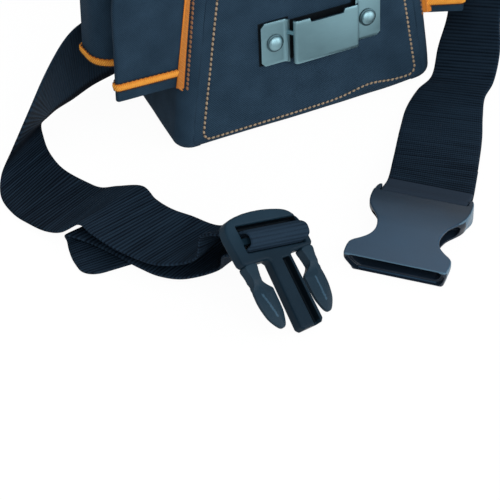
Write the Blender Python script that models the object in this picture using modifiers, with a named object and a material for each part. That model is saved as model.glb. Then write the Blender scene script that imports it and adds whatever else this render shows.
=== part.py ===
"""Electrician's tool pouch: a stiff canvas pocket with a riveted steel tape clip, four tool sleeves
and a webbing belt closed by a side-release buckle. It stands on its base with the front facing -Y."""

import math

import bmesh
import bpy
from mathutils import Matrix, Vector

MM = 0.001
GAP = 0.3 * MM  # clearance between neighbouring pieces
CLOTH = 2.6 * MM  # laminated canvas wall
TAPE = 1.0 * MM  # folded edge tape

# Pocket. Widths are measured at floor level and shrink with height; y starts at the front's foot.
BODY_HALF = 89 * MM
SIDE_TAPER = 0.13
FRONT_LEAN = math.tan(math.radians(5.8))
PANEL_HALF = BODY_HALF - 10.2 * MM
PANEL_TAPER = 0.155
REAR_INSET = 9 * MM
CORNER = 9 * MM
BASE = 8 * MM
BASE_ROUND = 6.5 * MM
FRONT_TOP = 150 * MM
SIDE_TOP = 172 * MM
RIM_BEAD = 2.4 * MM

# Back panel, with its bound edge and the two loops that carry the belt.
BACK_Y = 93 * MM
BACK_THICK = 3.5 * MM
BACK_HALF = BODY_HALF - 8 * MM
BACK_FOOT = 2 * MM
BACK_TOP = 262 * MM
BACK_ROUND = 38 * MM
BACK_BEAD = 2.3 * MM
LOOP_X = BACK_HALF - 38 * MM
LOOP_WIDTH = 38 * MM
LOOP_CLOTH = 1.6 * MM
LOOP_DEPTH = 4.6 * MM
LOOP_LOW = 1.5 * MM
LOOP_HIGH = 122 * MM

# Inside: a divider and a row of tool loops behind it.
DIVIDER_Y = 60 * MM
DIVIDER_TOP = 164 * MM
TOOL_LOOPS = 3
TOOL_LOOP_PITCH = 34 * MM
TOOL_LOOP_DEPTH = 17 * MM
TOOL_LOOP_LOW = 112 * MM
TOOL_LOOP_HIGH = 140 * MM

# Tool sleeves at the sides: reach from the pocket's wall, and their lower and upper hems.
SLEEVE_CLOTH = 2.2 * MM
SLEEVE_SEAM = 1.2 * MM
SLEEVE_REACH = 38 * MM
FLAT_REACH = 36 * MM
NARROW_REACH = 24.5 * MM
SLEEVE_LOW = 42 * MM
SLEEVE_HIGH = 146 * MM
FLAT_DEPTH = 16 * MM
FLAT_FRONT = 8.4 * MM
FLAT_SPLAY = 1.5 * MM
FLAT_ROUND = 4 * MM
NARROW_FRONT = 5.8 * MM
NARROW_EDGE = -3.6 * MM
REAR_ROUND = 10 * MM
SLEEVE_LEAN = 0.45  # share of the front panel's lean
REAR_START = 38 * MM
REAR_END = 63 * MM
HEM_LOW = 49.5 * MM
HEM_HIGH = 53.5 * MM
STRIP_START = 36  # degrees round the pocket's front corner
STRIP_END = 66

# Tape clip: a stamped steel bridge on two riveted tabs.
CLIP_X = 7.4 * MM
CLIP_Z = 57.3 * MM
CLIP_WIDTH = 81 * MM
CLIP_HEIGHT = 27.5 * MM
CLIP_STEEL = 1.2 * MM
CLIP_TAB = 17.8 * MM
CLIP_STEP = 1.2 * MM
CLIP_RISE = 7.4 * MM
CLIP_NOTCH = 22 * MM
RIVET_SPACING = 63 * MM
RIVET_SHANK = 2 * MM
RIVET_HOLE = RIVET_SHANK + 0.4 * MM
RIVET_HEAD = 3.5 * MM
WASHER = 5.5 * MM
WASHER_STEEL = 0.7 * MM

# Belt and buckle.
BELT_WIDTH = 50 * MM
BELT_CLOTH = 2 * MM
SLOT_HALF = BELT_WIDTH / 2 + 0.5 * MM
MALE_HALF = 27.6 * MM
MALE_THICK = 7 * MM
BAR_THICK = 4.4 * MM
LADDER_X = 3.6 * MM  # the webbing's opening lies beside the guide's line, and a little turned
LADDER_TURN = -4.9  # degrees
LADDER_LEFT = MALE_HALF - 5 * MM
LADDER_RIGHT = MALE_HALF - 7.2 * MM
END_BAR = 9.3 * MM
SLOT_BACK = 15.6 * MM
LADDER_FRONT = 19.2 * MM
CROSS_BACK = 24.4 * MM
CROSS_FRONT = 28.5 * MM
GUIDE_LEFT = 7.4 * MM
GUIDE_RIGHT = 8.4 * MM
GUIDE_TIP = 70 * MM
GROOVE_START = 0.9 * MM
GROOVE_END = 6.3 * MM
PRONG_THICK = 6 * MM
FEMALE_HALF = 29.2 * MM
FEMALE_THICK = 10.4 * MM
FEMALE_LENGTH = 64.5 * MM
CAVITY_HALF = 25.5 * MM
CAVITY_HEIGHT = 7.4 * MM
CAVITY_DEPTH = 47 * MM
FEMALE_SLOT = 52.5 * MM
FEMALE_BAR = 58 * MM
FEMALE_BAR_END = 62 * MM

# The origin lies under the middle of the depth, between the clip's face and the belt loops.
CLIP_FRONT = FRONT_LEAN * (CLIP_Z - CLIP_HEIGHT / 2) - GAP - CLIP_STEEL - CLIP_RISE + 0.15 * MM
LOOP_BACK = BACK_Y + LOOP_DEPTH + LOOP_CLOTH / 2
MIDDLE_Y = (CLIP_FRONT + LOOP_BACK) / 2

CANVAS = ((0.017, 0.036, 0.066), 0.85, 0.0)
ORANGE = ((0.82, 0.27, 0.035), 0.7, 0.0)
BINDING = ((0.012, 0.018, 0.026), 0.8, 0.0)
WEBBING = ((0.008, 0.013, 0.02), 0.75, 0.0)
PLASTIC = ((0.026, 0.042, 0.062), 0.38, 0.0)
STEEL = ((0.2, 0.3, 0.32), 0.32, 1.0)

for old in list(bpy.data.objects):
    bpy.data.objects.remove(old)
pouch = bpy.data.collections.new("electrician_pouch")
cutters = bpy.data.collections.new("cutters")
for collection in (pouch, cutters):
    bpy.context.scene.collection.children.link(collection)
cutters.hide_render = True


def empty(name, matrix, parent=None):
    """A parent on which pieces are placed."""
    made = bpy.data.objects.new(name, None)
    pouch.objects.link(made)
    made.parent = parent
    made.matrix_local = matrix
    return made


def piece(name, mesh, finish, parent, matrix=None):
    """A named part with its own material."""
    colour, roughness, metallic = finish
    made = bpy.data.objects.new(name, mesh)
    pouch.objects.link(made)
    made.parent = parent
    made.matrix_local = matrix or Matrix()
    material = bpy.data.materials.new(name)
    material.use_nodes = True
    shader = material.node_tree.nodes["Principled BSDF"].inputs
    shader["Base Color"].default_value = (*colour, 1)
    shader["Roughness"].default_value = roughness
    shader["Metallic"].default_value = metallic
    mesh.materials.append(material)
    return made


def sheet(name, rows, thickness, finish, parent, closed=False):
    """A cloth or sheet-metal piece: rows of points are its middle surface, thickened both ways."""
    wide = len(rows[0])
    mesh = bpy.data.meshes.new(name)
    faces = []
    for i in range(len(rows) - 1):
        for j in range(wide if closed else wide - 1):
            k = (j + 1) % wide
            faces.append((i * wide + j, i * wide + k, (i + 1) * wide + k, (i + 1) * wide + j))
    mesh.from_pydata([point for row in rows for point in row], [], faces)
    made = piece(name, mesh, finish, parent)
    solid = made.modifiers.new("thickness", "SOLIDIFY")
    solid.thickness = thickness
    solid.offset = 0
    return made


def outline_mesh(name, outlines, thickness):
    """A flat plate in XY from closed outlines; inner outlines are holes."""
    curve = bpy.data.curves.new(name, "CURVE")
    curve.dimensions = "2D"
    curve.fill_mode = "BOTH"
    curve.extrude = thickness / 2
    for outline in outlines:
        spline = curve.splines.new("POLY")
        spline.points.add(len(outline) - 1)
        for point, (x, y) in zip(spline.points, outline):
            point.co = (x, y, 0, 1)
        spline.use_cyclic_u = True
    guide = bpy.data.objects.new(name, curve)
    mesh = bpy.data.meshes.new_from_object(guide)
    bpy.data.objects.remove(guide)
    welded = bmesh.new()
    welded.from_mesh(mesh)
    bmesh.ops.remove_doubles(welded, verts=welded.verts, dist=1e-6)
    welded.to_mesh(mesh)
    welded.free()
    return mesh


def bead(name, path, radius, finish, parent):
    """A round bound edge along a path."""
    curve = bpy.data.curves.new(name, "CURVE")
    curve.dimensions = "3D"
    curve.bevel_depth = radius
    curve.bevel_resolution = 1
    curve.use_fill_caps = True
    spline = curve.splines.new("POLY")
    spline.points.add(len(path) - 1)
    for point, place in zip(spline.points, path):
        point.co = (*place, 1)
    return piece(name, curve, finish, parent)


def turned(name, profile, finish, parent, matrix, ring=False):
    """A round piece: its profile runs from top to bottom at +X."""
    mesh = bpy.data.meshes.new(name)
    edges = [(i, i + 1) for i in range(len(profile) - 1)]
    if ring:
        edges.append((len(profile) - 1, 0))
    mesh.from_pydata([(radius, 0, height) for radius, height in profile], edges, [])
    made = piece(name, mesh, finish, parent, matrix)
    screw = made.modifiers.new("turn", "SCREW")
    screw.steps = screw.render_steps = 20
    screw.use_merge_vertices = True
    screw.merge_threshold = 1e-6
    return made


def cut(target, name, mesh, parent, matrix=None):
    """Removes a cutter's shape from a piece."""
    tool = bpy.data.objects.new(name, mesh)
    cutters.objects.link(tool)
    tool.parent = parent
    tool.matrix_local = matrix or Matrix()
    tool.hide_render = True
    tool.display_type = "WIRE"
    boolean = target.modifiers.new(name, "BOOLEAN")
    boolean.operation = "DIFFERENCE"
    boolean.solver = "EXACT"
    boolean.object = tool


def block(name, low, high):
    """A box between two corners."""
    mesh = bpy.data.meshes.new(name)
    made = bmesh.new()
    size = [b - a for a, b in zip(low, high)]
    middle = [(a + b) / 2 for a, b in zip(low, high)]
    place = Matrix.Translation(middle) @ Matrix.Diagonal((*size, 1))
    bmesh.ops.create_cube(made, size=1, matrix=place)
    made.to_mesh(mesh)
    made.free()
    return mesh


def rod(name, radius, length, matrix):
    """A round cutter centred on its frame's Z axis."""
    mesh = bpy.data.meshes.new(name)
    made = bmesh.new()
    bmesh.ops.create_cone(
        made, cap_ends=True, segments=20, radius1=radius, radius2=radius, depth=length, matrix=matrix
    )
    made.to_mesh(mesh)
    made.free()
    return mesh


def soften(target, width, segments=2):
    """Rounds the sharp edges of a piece."""
    rounding = target.modifiers.new("round", "BEVEL")
    rounding.width = width
    rounding.segments = segments
    rounding.limit_method = "ANGLE"
    rounding.angle_limit = math.radians(50)
    rounding.use_clamp_overlap = False


def rounded(corners, steps=4):
    """An outline whose corners (x, y, radius) are filleted."""
    outline = []
    count = len(corners)
    for i, (x, y, radius) in enumerate(corners):
        here = Vector((x, y))
        back = (Vector(corners[i - 1][:2]) - here).normalized()
        ahead = (Vector(corners[(i + 1) % count][:2]) - here).normalized()
        if radius == 0:
            outline.append(here)
            continue
        half = back.angle(ahead) / 2
        centre = here + (back + ahead).normalized() * (radius / math.sin(half))
        start = here + back * (radius / math.tan(half)) - centre
        turn = start.angle_signed(here + ahead * (radius / math.tan(half)) - centre)
        for step in range(steps + 1):
            angle = -turn * step / steps
            outline.append(centre + Matrix.Rotation(angle, 2) @ start)
    return outline


def half_width(z, y=0.0):
    """Outer half-width of the pocket at a height, drawn in towards the back."""
    start = front_y(z) + CORNER
    share = max(0.0, (y - start) / (BACK_INNER - start))
    return BODY_HALF - SIDE_TAPER * z - REAR_INSET * share


def front_y(z):
    return FRONT_LEAN * z


def panel_half(z):
    return PANEL_HALF - PANEL_TAPER * z


BACK_INNER = BACK_Y - BACK_THICK - GAP
WALL_FOOT = BASE + GAP
root = empty("pouch_frame", Matrix.Translation((0, -MIDDLE_Y, 0)))

# Base: a padded board with a rounded lower edge.
base_half = half_width(BASE)
base_rear = base_half - REAR_INSET
base_outline = rounded(
    [
        (-base_half, front_y(BASE), CORNER),
        (base_half, front_y(BASE), CORNER),
        (base_rear, BACK_INNER, 4 * MM),
        (-base_rear, BACK_INNER, 4 * MM),
    ]
)
base_mesh = outline_mesh("base_panel", [base_outline], BASE)
shaped = bmesh.new()
shaped.from_mesh(base_mesh)
low_edges = [e for e in shaped.edges if all(v.co.z < 0 for v in e.verts)]
foot_edges = [e for e in low_edges if e.calc_face_angle(0) > 1]
bmesh.ops.bevel(
    shaped,
    geom=foot_edges,
    offset=BASE_ROUND,
    offset_type="OFFSET",
    segments=3,
    profile=0.5,
    affect="EDGES",
)
shaped.to_mesh(base_mesh)
shaped.free()
piece("base_panel", base_mesh, CANVAS, root, Matrix.Translation((0, 0, BASE / 2)))

# Front panel, leaning back.
lean = math.atan(FRONT_LEAN)
panel_tilt = Matrix.Rotation(math.radians(90) - lean, 4, "X")
panel_place = panel_tilt @ Matrix.Translation((0, 0, -CLOTH / 2))
rise = 1 / math.cos(lean)
front_outline = rounded(
    [
        (-panel_half(WALL_FOOT), WALL_FOOT * rise, 4 * MM),
        (panel_half(WALL_FOOT), WALL_FOOT * rise, 4 * MM),
        (panel_half(FRONT_TOP), FRONT_TOP * rise, 0),
        (-panel_half(FRONT_TOP), FRONT_TOP * rise, 0),
    ]
)
front_panel = piece(
    "front_panel", outline_mesh("front_panel", [front_outline], CLOTH), CANVAS, root, panel_place
)


def wall_section(z_at, side):
    """Middle line of a side wall: front return, rounded corner, side; z_at gives the height over y."""
    inner = CLOTH / 2
    points = []
    z = z_at(front_y(FRONT_TOP))
    edge = panel_half(z) + GAP
    half = half_width(z)
    centre = Vector((half - CORNER, front_y(z) + CORNER))
    points.append(Vector((side * edge, front_y(z) + inner, z)))
    for step in range(5):
        angle = math.radians(90 * step / 4)
        reach = CORNER - inner
        x = centre.x + reach * math.sin(angle)
        points.append(Vector((side * x, centre.y - reach * math.cos(angle), z)))
    for y in (REAR_START, REAR_END, BACK_INNER):
        z = z_at(y)
        points.append(Vector((side * (half_width(z, y) - inner), y, z)))
    return points


def rim_height(y):
    """The pocket's rim climbs from the front to the back."""
    start = front_y(FRONT_TOP) + CORNER
    share = min(1.0, max(0.0, (y - start) / (BACK_INNER - start)))
    return FRONT_TOP + (SIDE_TOP - FRONT_TOP) * share


walls = {}
for side, label in ((-1, "left"), (1, "right")):
    sections = []
    for share in (0, 0.25, 0.5, 0.75, 1):
        sections.append(
            wall_section(lambda y, s=share: WALL_FOOT + (rim_height(y) - WALL_FOOT) * s, side)
        )
    walls[label] = sections[-1]
    sheet(f"gusset_{label}", sections, CLOTH, CANVAS, root)

# Bound rim of the pocket.
lift = Vector((0, 0, RIM_BEAD + GAP + 0.5 * MM))
rim_path = [point + lift for point in reversed(walls["left"])]
rim_path += [point + lift for point in walls["right"]]
rim_path[0].y -= RIM_BEAD
rim_path[-1].y -= RIM_BEAD
bead("rim_binding", rim_path, RIM_BEAD, BINDING, root)

# Back panel and its bound edge.
upright = Matrix.Rotation(math.radians(90), 4, "X")
back_place = Matrix.Translation((0, BACK_Y - BACK_THICK / 2, 0)) @ upright
back_corners = [
    (-BACK_HALF, BACK_FOOT, 4 * MM),
    (BACK_HALF, BACK_FOOT, 4 * MM),
    (BACK_HALF, BACK_TOP, BACK_ROUND),
    (-BACK_HALF, BACK_TOP, BACK_ROUND),
]
back_mesh = outline_mesh("back_panel", [rounded(back_corners, 6)], BACK_THICK)
piece("back_panel", back_mesh, CANVAS, root, back_place)
off = BACK_BEAD + GAP
bound = rounded(
    [
        (BACK_HALF + off, BACK_FOOT + 3 * MM, 0),
        (BACK_HALF + off, BACK_TOP + off, BACK_ROUND + off),
        (-BACK_HALF - off, BACK_TOP + off, BACK_ROUND + off),
        (-BACK_HALF - off, BACK_FOOT + 3 * MM, 0),
    ],
    6,
)
edge_path = [Vector((x, BACK_Y - BACK_THICK / 2, z)) for x, z in bound]
bead("back_binding", edge_path, BACK_BEAD, BINDING, root)

# Belt loops on the back, sewn down at both ends.
for side, label in ((-1, "left"), (1, "right")):
    flat = GAP + LOOP_CLOTH / 2 + 0.1 * MM
    section = [
        (flat, LOOP_LOW),
        (flat, LOOP_LOW + 2 * MM),
        (LOOP_DEPTH, LOOP_LOW + 5 * MM),
        (LOOP_DEPTH, LOOP_HIGH - 11 * MM),
        (flat, LOOP_HIGH - 7 * MM),
        (flat, LOOP_HIGH),
    ]
    rows = []
    for y, z in section:
        left = Vector((side * LOOP_X - LOOP_WIDTH / 2, BACK_Y + y, z))
        rows.append((left, left + Vector((LOOP_WIDTH, 0, 0))))
    sheet(f"belt_loop_{label}", rows, LOOP_CLOTH, WEBBING, root)

# Divider and the row of tool loops behind it.
slack = CLOTH + 1.5 * MM
divider_outline = []
for z in (WALL_FOOT + GAP, DIVIDER_TOP):
    divider_outline.append((half_width(z, DIVIDER_Y + CLOTH) - slack, z))
divider_outline += [(-x, z) for x, z in reversed(divider_outline)]
divider_mesh = outline_mesh("divider_panel", [divider_outline], CLOTH)
piece("divider_panel", divider_mesh, CANVAS, root, Matrix.Translation((0, DIVIDER_Y, 0)) @ upright)

tack_y = BACK_Y - BACK_THICK - GAP - LOOP_CLOTH / 2
wave = []
for i in range(TOOL_LOOPS):
    middle = (i - (TOOL_LOOPS - 1) / 2) * TOOL_LOOP_PITCH
    reach = TOOL_LOOP_PITCH / 2
    wave.append((middle - reach + 0.5 * MM, tack_y))
    for angle in (0, 30, 60, 90, 120, 150, 180):
        x = middle - (reach - 4 * MM) * math.cos(math.radians(angle))
        wave.append((x, tack_y - TOOL_LOOP_DEPTH * math.sin(math.radians(angle)) ** 0.6))
wave.append((wave[-1][0] + 3.5 * MM, tack_y))
rows = [[Vector((x, y, z)) for x, y in wave] for z in (TOOL_LOOP_LOW, TOOL_LOOP_HIGH)]
sheet("tool_loop_band", rows, LOOP_CLOTH, WEBBING, root)


def sleeve_corners(z, side, reach, near, far, rear, radius, leaning):
    """Plan of a sleeve's outer face: wall front, outer front, outer rear, wall rear."""
    shift = SLEEVE_LEAN * front_y(z) if leaning else 0.0
    outer = half_width(z) + SLEEVE_SEAM + reach
    return [
        (side * (half_width(z, near + shift) + SLEEVE_SEAM), near + shift, 0.0),
        (side * outer, far + shift, radius),
        (side * outer, rear + shift, radius),
        (side * (half_width(z, rear + shift) + SLEEVE_SEAM), rear + shift, 0.0),
    ]


def inset(corners, distance):
    """Offsets an outline's corners inwards; a negative distance moves them out."""
    count = len(corners)
    area = 0.0
    for i, (x, y, _) in enumerate(corners):
        area += corners[i - 1][0] * y - x * corners[i - 1][1]
    hand = 1 if area > 0 else -1
    moved = []
    for i, (x, y, radius) in enumerate(corners):
        here = Vector((x, y))
        back = (here - Vector(corners[i - 1][:2])).normalized()
        ahead = (Vector(corners[(i + 1) % count][:2]) - here).normalized()
        first = Vector((-back.y, back.x)) * hand
        second = Vector((-ahead.y, ahead.x)) * hand
        shift = (first + second) * (distance / (1 + first.dot(second)))
        moved.append((x + shift.x, y + shift.y, max(radius - distance, 0) if radius else 0.0))
    return moved


flat_end = FLAT_FRONT + FLAT_DEPTH
flat_edge = FLAT_FRONT + FLAT_SPLAY
SLEEVES = {
    "left_front": (-1, FLAT_REACH, FLAT_FRONT, flat_edge, flat_end, FLAT_ROUND, True),
    "left_rear": (-1, SLEEVE_REACH, REAR_START, REAR_START, REAR_END, REAR_ROUND, False),
    "right_front": (1, NARROW_REACH, NARROW_FRONT, NARROW_EDGE, flat_end, FLAT_ROUND, True),
    "right_rear": (1, SLEEVE_REACH, REAR_START, REAR_START, REAR_END, REAR_ROUND, False),
}
for label, (side, reach, near, far, rear, radius, leaning) in SLEEVES.items():
    tube = []
    for z in (SLEEVE_LOW, (SLEEVE_LOW + SLEEVE_HIGH) / 2, SLEEVE_HIGH):
        corners = sleeve_corners(z, side, reach, near, far, rear, radius, leaning)
        tube.append([Vector((x, y, z)) for x, y in rounded(inset(corners, SLEEVE_CLOTH / 2))])
    sheet(f"sleeve_{label}", tube, SLEEVE_CLOTH, CANVAS, root, closed=True)
    band = []
    for z in (HEM_LOW, HEM_HIGH):
        corners = sleeve_corners(z, side, reach, near, far, rear, radius, leaning)
        around = rounded(inset(corners, -GAP - TAPE / 2))
        first = Vector(around[0])
        ahead = (Vector(around[1]) - first).normalized()
        last = Vector(around[-1])
        behind = (Vector(around[-2]) - last).normalized()
        around[0] = first + ahead * (TAPE + 1 * MM)
        around[-1] = last + behind * (TAPE + 1 * MM)
        band.append([Vector((x, y, z)) for x, y in around])
    sheet(f"hem_tape_{label}", band, TAPE, ORANGE, root)

# Upright tapes round the pocket's front corners, beside the front sleeves.
for side, label in ((-1, "left"), (1, "right")):
    strip = []
    for z in (SLEEVE_LOW, (SLEEVE_LOW + SLEEVE_HIGH) / 2, FRONT_TOP - 4 * MM):
        reach = CORNER + GAP + TAPE / 2 + 0.1 * MM
        row = []
        for degrees in (STRIP_START, (STRIP_START + STRIP_END) / 2, STRIP_END):
            angle = math.radians(degrees)
            x = half_width(z) - CORNER + reach * math.sin(angle)
            row.append(Vector((side * x, front_y(z) + CORNER - reach * math.cos(angle), z)))
        strip.append(row)
    sheet(f"side_tape_{label}", strip, TAPE, ORANGE, root)

# Tape clip on the front panel: X across, Z up the panel, -Y outwards.
clip_tilt = Matrix.Rotation(-lean, 4, "X")
clip_place = Matrix.Translation((CLIP_X, front_y(CLIP_Z), CLIP_Z))
clip_frame = empty("clip_frame", clip_place @ clip_tilt, root)
tab_y = -GAP - CLIP_STEEL / 2
half_clip = CLIP_WIDTH / 2
inner_tab = half_clip - CLIP_TAB
bridge_y = tab_y - CLIP_RISE
profile = [
    (-half_clip, tab_y),
    (-inner_tab, tab_y),
    (-inner_tab + CLIP_STEP * 0.35, tab_y - CLIP_RISE * 0.2),
    (-inner_tab + CLIP_STEP * 0.65, bridge_y + CLIP_RISE * 0.2),
    (-inner_tab + CLIP_STEP, bridge_y),
]
profile += [(-x, y) for x, y in reversed(profile)]
rows = []
for z in (-CLIP_HEIGHT / 2, CLIP_HEIGHT / 2):
    rows.append([Vector((x, y, z)) for x, y in profile])
clip = sheet("tape_clip", rows, CLIP_STEEL, STEEL, clip_frame)
notch = rounded(
    [
        (-CLIP_NOTCH / 2, -2.6 * MM, 2 * MM),
        (CLIP_NOTCH / 2, -2.6 * MM, 2 * MM),
        (CLIP_NOTCH / 2 + 2 * MM, 4 * MM, 0),
        (-CLIP_NOTCH / 2 - 2 * MM, 4 * MM, 0),
    ]
)
notch_place = Matrix.Translation((0, bridge_y, CLIP_HEIGHT / 2)) @ upright
cut(clip, "bridge_notch", outline_mesh("bridge_notch", [notch], 6 * MM), clip_frame, notch_place)
for side, label in ((-1, "left"), (1, "right")):
    for end, name in ((1, "top"), (-1, "bottom")):
        corner = Vector((side * half_clip, tab_y, end * CLIP_HEIGHT / 2))
        turn = Matrix.Rotation(math.radians(45), 4, "Y")
        nip = Vector((2.2 * MM, 3 * MM, 2.2 * MM))
        chamfer = block(f"{name}_{label}_chamfer", -nip, nip)
        cut(clip, f"{name}_{label}_chamfer", chamfer, clip_frame, Matrix.Translation(corner) @ turn)

# Rivets through clip and panel, each between an outer and an inner washer.
tab_face = GAP + CLIP_STEEL
outer_low = tab_face + GAP
outer_high = outer_low + WASHER_STEEL
head_low = outer_high + GAP
inner_high = -CLOTH - GAP
inner_low = inner_high - WASHER_STEEL
tail_high = inner_low - GAP
for side, label in ((-1, "left"), (1, "right")):
    place = Matrix.Translation((side * RIVET_SPACING / 2, 0, 0)) @ upright
    rivet = [
        (0, head_low + 1.9 * MM),
        (1.6 * MM, head_low + 1.55 * MM),
        (2.8 * MM, head_low + 0.8 * MM),
        (RIVET_HEAD, head_low),
        (RIVET_SHANK, head_low),
        (RIVET_SHANK, tail_high),
        (RIVET_SHANK + 1.2 * MM, tail_high),
        (RIVET_SHANK + 1 * MM, tail_high - 0.8 * MM),
        (0, tail_high - 1.1 * MM),
    ]
    turned(f"rivet_{label}", rivet, STEEL, clip_frame, place)
    for name, low, high in (("outer", outer_low, outer_high), ("inner", inner_low, inner_high)):
        washer = [(RIVET_HOLE, high), (WASHER, high), (WASHER, low), (RIVET_HOLE, low)]
        turned(f"rivet_washer_{name}_{label}", washer, STEEL, clip_frame, place, ring=True)
    for target, name in ((clip, "clip"), (front_panel, "panel")):
        hole = rod(f"{name}_hole_{label}", RIVET_HOLE, 12 * MM, Matrix())
        cut(target, f"{name}_hole_{label}", hole, clip_frame, place)


def frame_of(origin, along, across):
    """Axes of a buckle half: Y along it towards its webbing, X across it, Z out of its face."""
    y = Vector(along).normalized()
    x = Vector(across)
    x = (x - y * x.dot(y)).normalized()
    z = x.cross(y)
    matrix = Matrix((x, y, z)).transposed().to_4x4()
    matrix.translation = Vector(origin) * MM
    return matrix


male_frame = frame_of((-106.8, -118.9, 47.2), (-0.066, 0.795, 0.603), (0.94, 0.253, -0.23))
female_frame = frame_of((-38.9, -155.2, 6.2), (0.745, 0.665, 0.057), (0.665, -0.745, 0.025))
male = empty("buckle_male_frame", male_frame, root)

# Male half: a ladder frame for the webbing and a grooved centre guide. Lengths run from the end bar.
end_edge = [
    (-27.6, -12),
    (-27, -7.4),
    (-24.6, -4),
    (-20.5, -2.4),
    (-14, -1.5),
    (-6, -1.3),
    (3, -2),
    (11, -3.4),
    (17.5, -5.2),
    (21.6, -7.8),
    (24.6, -12),
    (26.4, -17),
]
male_scale = MALE_HALF / 27.6
frame_outline = rounded(
    [
        *[(x * male_scale, y * MM, 0) for x, y in end_edge],
        (MALE_HALF - 1.2 * MM, -CROSS_FRONT, 2 * MM),
        (GUIDE_RIGHT, -CROSS_FRONT - 0.2 * MM, 1.5 * MM),
        (GUIDE_RIGHT - 0.4 * MM, -GUIDE_TIP + 0.8 * MM, 1.5 * MM),
        (-GUIDE_LEFT + 0.4 * MM, -GUIDE_TIP, 1.5 * MM),
        (-GUIDE_LEFT, -CROSS_FRONT - 0.2 * MM, 1.5 * MM),
        (-MALE_HALF + 1.2 * MM, -CROSS_FRONT, 2 * MM),
    ],
    3,
)
male_mesh = outline_mesh("buckle_male", [frame_outline], MALE_THICK)
buckle_male = piece("buckle_male", male_mesh, PLASTIC, male)
ladder = Matrix.Translation((LADDER_X, 0, 0)) @ Matrix.Rotation(math.radians(LADDER_TURN), 4, "Z")
ease = 0.4 * MM
for side, label in ((1, "above"), (-1, "below")):
    near = side * BAR_THICK / 2
    recess = block(
        f"bar_recess_{label}",
        (-LADDER_LEFT - ease, -CROSS_BACK + ease, min(near, side * 8 * MM)),
        (LADDER_RIGHT + ease, -END_BAR - ease, max(near, side * 8 * MM)),
    )
    cut(buckle_male, f"bar_recess_{label}", recess, male, ladder)
for back, front, label in ((END_BAR, SLOT_BACK, "back"), (LADDER_FRONT, CROSS_BACK, "front")):
    slot = block(f"slot_{label}", (-LADDER_LEFT, -front, -9 * MM), (LADDER_RIGHT, -back, 9 * MM))
    cut(buckle_male, f"slot_{label}", slot, male, ladder)
groove_low = (GROOVE_START, -GUIDE_TIP - 2 * MM, -1.2 * MM)
groove = block("guide_groove", groove_low, (GROOVE_END, -CROSS_FRONT - 2 * MM, 8 * MM))
cut(buckle_male, "guide_groove", groove, male)

# Spring prongs beside the guide; each turns inwards about its root.
prong_outline = [
    (17.4, 29.2),
    (25.1, 29.2),
    (24.6, 34.0),
    (24.5, 38.8),
    (25.6, 41.0),
    (26.2, 47.0),
    (25.8, 52.0),
    (24.4, 57.6),
    (22.2, 61.4),
    (19.6, 64.3),
    (17.4, 65.0),
    (15.2, 63.6),
    (13.4, 59.5),
    (12.3, 55.0),
    (12.0, 46.0),
    (12.2, 43.0),
    (16.0, 40.2),
    (18.4, 37.6),
    (17.8, 33.0),
]
PRONG_ROOT = Vector((21.3 * MM, -29.2 * MM, 0))
for side, label in ((-1, "left"), (1, "right")):
    pivot = Vector((side * PRONG_ROOT.x, PRONG_ROOT.y, 0))
    hinge = empty(f"prong_{label}_root", Matrix.Translation(pivot), male)
    shape = [(side * x * MM - pivot.x, -v * MM - pivot.y) for x, v in prong_outline]
    prong_mesh = outline_mesh(f"buckle_prong_{label}", [shape], PRONG_THICK)
    prong = piece(f"buckle_prong_{label}", prong_mesh, PLASTIC, hinge)
    soften(prong, 0.7 * MM, 1)

# Female half: a waisted housing, open at its mouth and at the finger cut-outs, with a webbing bar behind.
bar_middle = Vector((0, (FEMALE_BAR + FEMALE_BAR_END) / 2, 0))
swing = empty("buckle_female_bar", female_frame @ Matrix.Translation(bar_middle), root)
half_outline = [
    (27.6, 0.0),
    (29.0, 1.8),
    (29.2, 9.5),
    (27.6, 13.0),
    (23.6, 16.4),
    (20.0, 20.5),
    (18.4, 25.5),
    (18.8, 31.0),
    (20.8, 36.5),
    (24.6, 41.5),
    (27.6, 46.0),
    (28.8, 51.0),
    (28.9, 57.0),
    (28.2, 62.0),
    (27.0, 64.5),
]
scale_x = FEMALE_HALF / (29.2 * MM)
scale_y = FEMALE_LENGTH / (64.5 * MM)
right_side = [(x * MM * scale_x, v * MM * scale_y) for x, v in half_outline]
outline = right_side + [(-x, y) for x, y in reversed(right_side)]
shift = Matrix.Translation(-bar_middle)
female_mesh = outline_mesh("buckle_female", [outline], FEMALE_THICK)
female = piece("buckle_female", female_mesh, PLASTIC, swing, shift)
soften(female, 2.2 * MM, 3)
cavity = block(
    "cavity", (-CAVITY_HALF, -6 * MM, -CAVITY_HEIGHT / 2), (CAVITY_HALF, CAVITY_DEPTH, CAVITY_HEIGHT / 2)
)
cut(female, "cavity", cavity, swing, shift)
webbing_slot = block(
    "webbing_slot", (-SLOT_HALF, FEMALE_SLOT, -12 * MM), (SLOT_HALF, FEMALE_BAR, 12 * MM)
)
cut(female, "webbing_slot", webbing_slot, swing, shift)
bar_half = (FEMALE_BAR_END - FEMALE_BAR) / 2
for side, label in ((1, "over"), (-1, "under")):
    near = side * bar_half
    relief = block(
        f"bar_relief_{label}",
        (-SLOT_HALF, FEMALE_SLOT + 1 * MM, min(near, side * 12 * MM)),
        (SLOT_HALF, FEMALE_LENGTH + 5 * MM, max(near, side * 12 * MM)),
    )
    cut(female, f"bar_relief_{label}", relief, swing, shift)
behind_low = (-SLOT_HALF, FEMALE_BAR_END, -12 * MM)
behind_bar = block("behind_bar", behind_low, (SLOT_HALF, FEMALE_LENGTH + 5 * MM, 12 * MM))
cut(female, "behind_bar", behind_bar, swing, shift)

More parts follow.
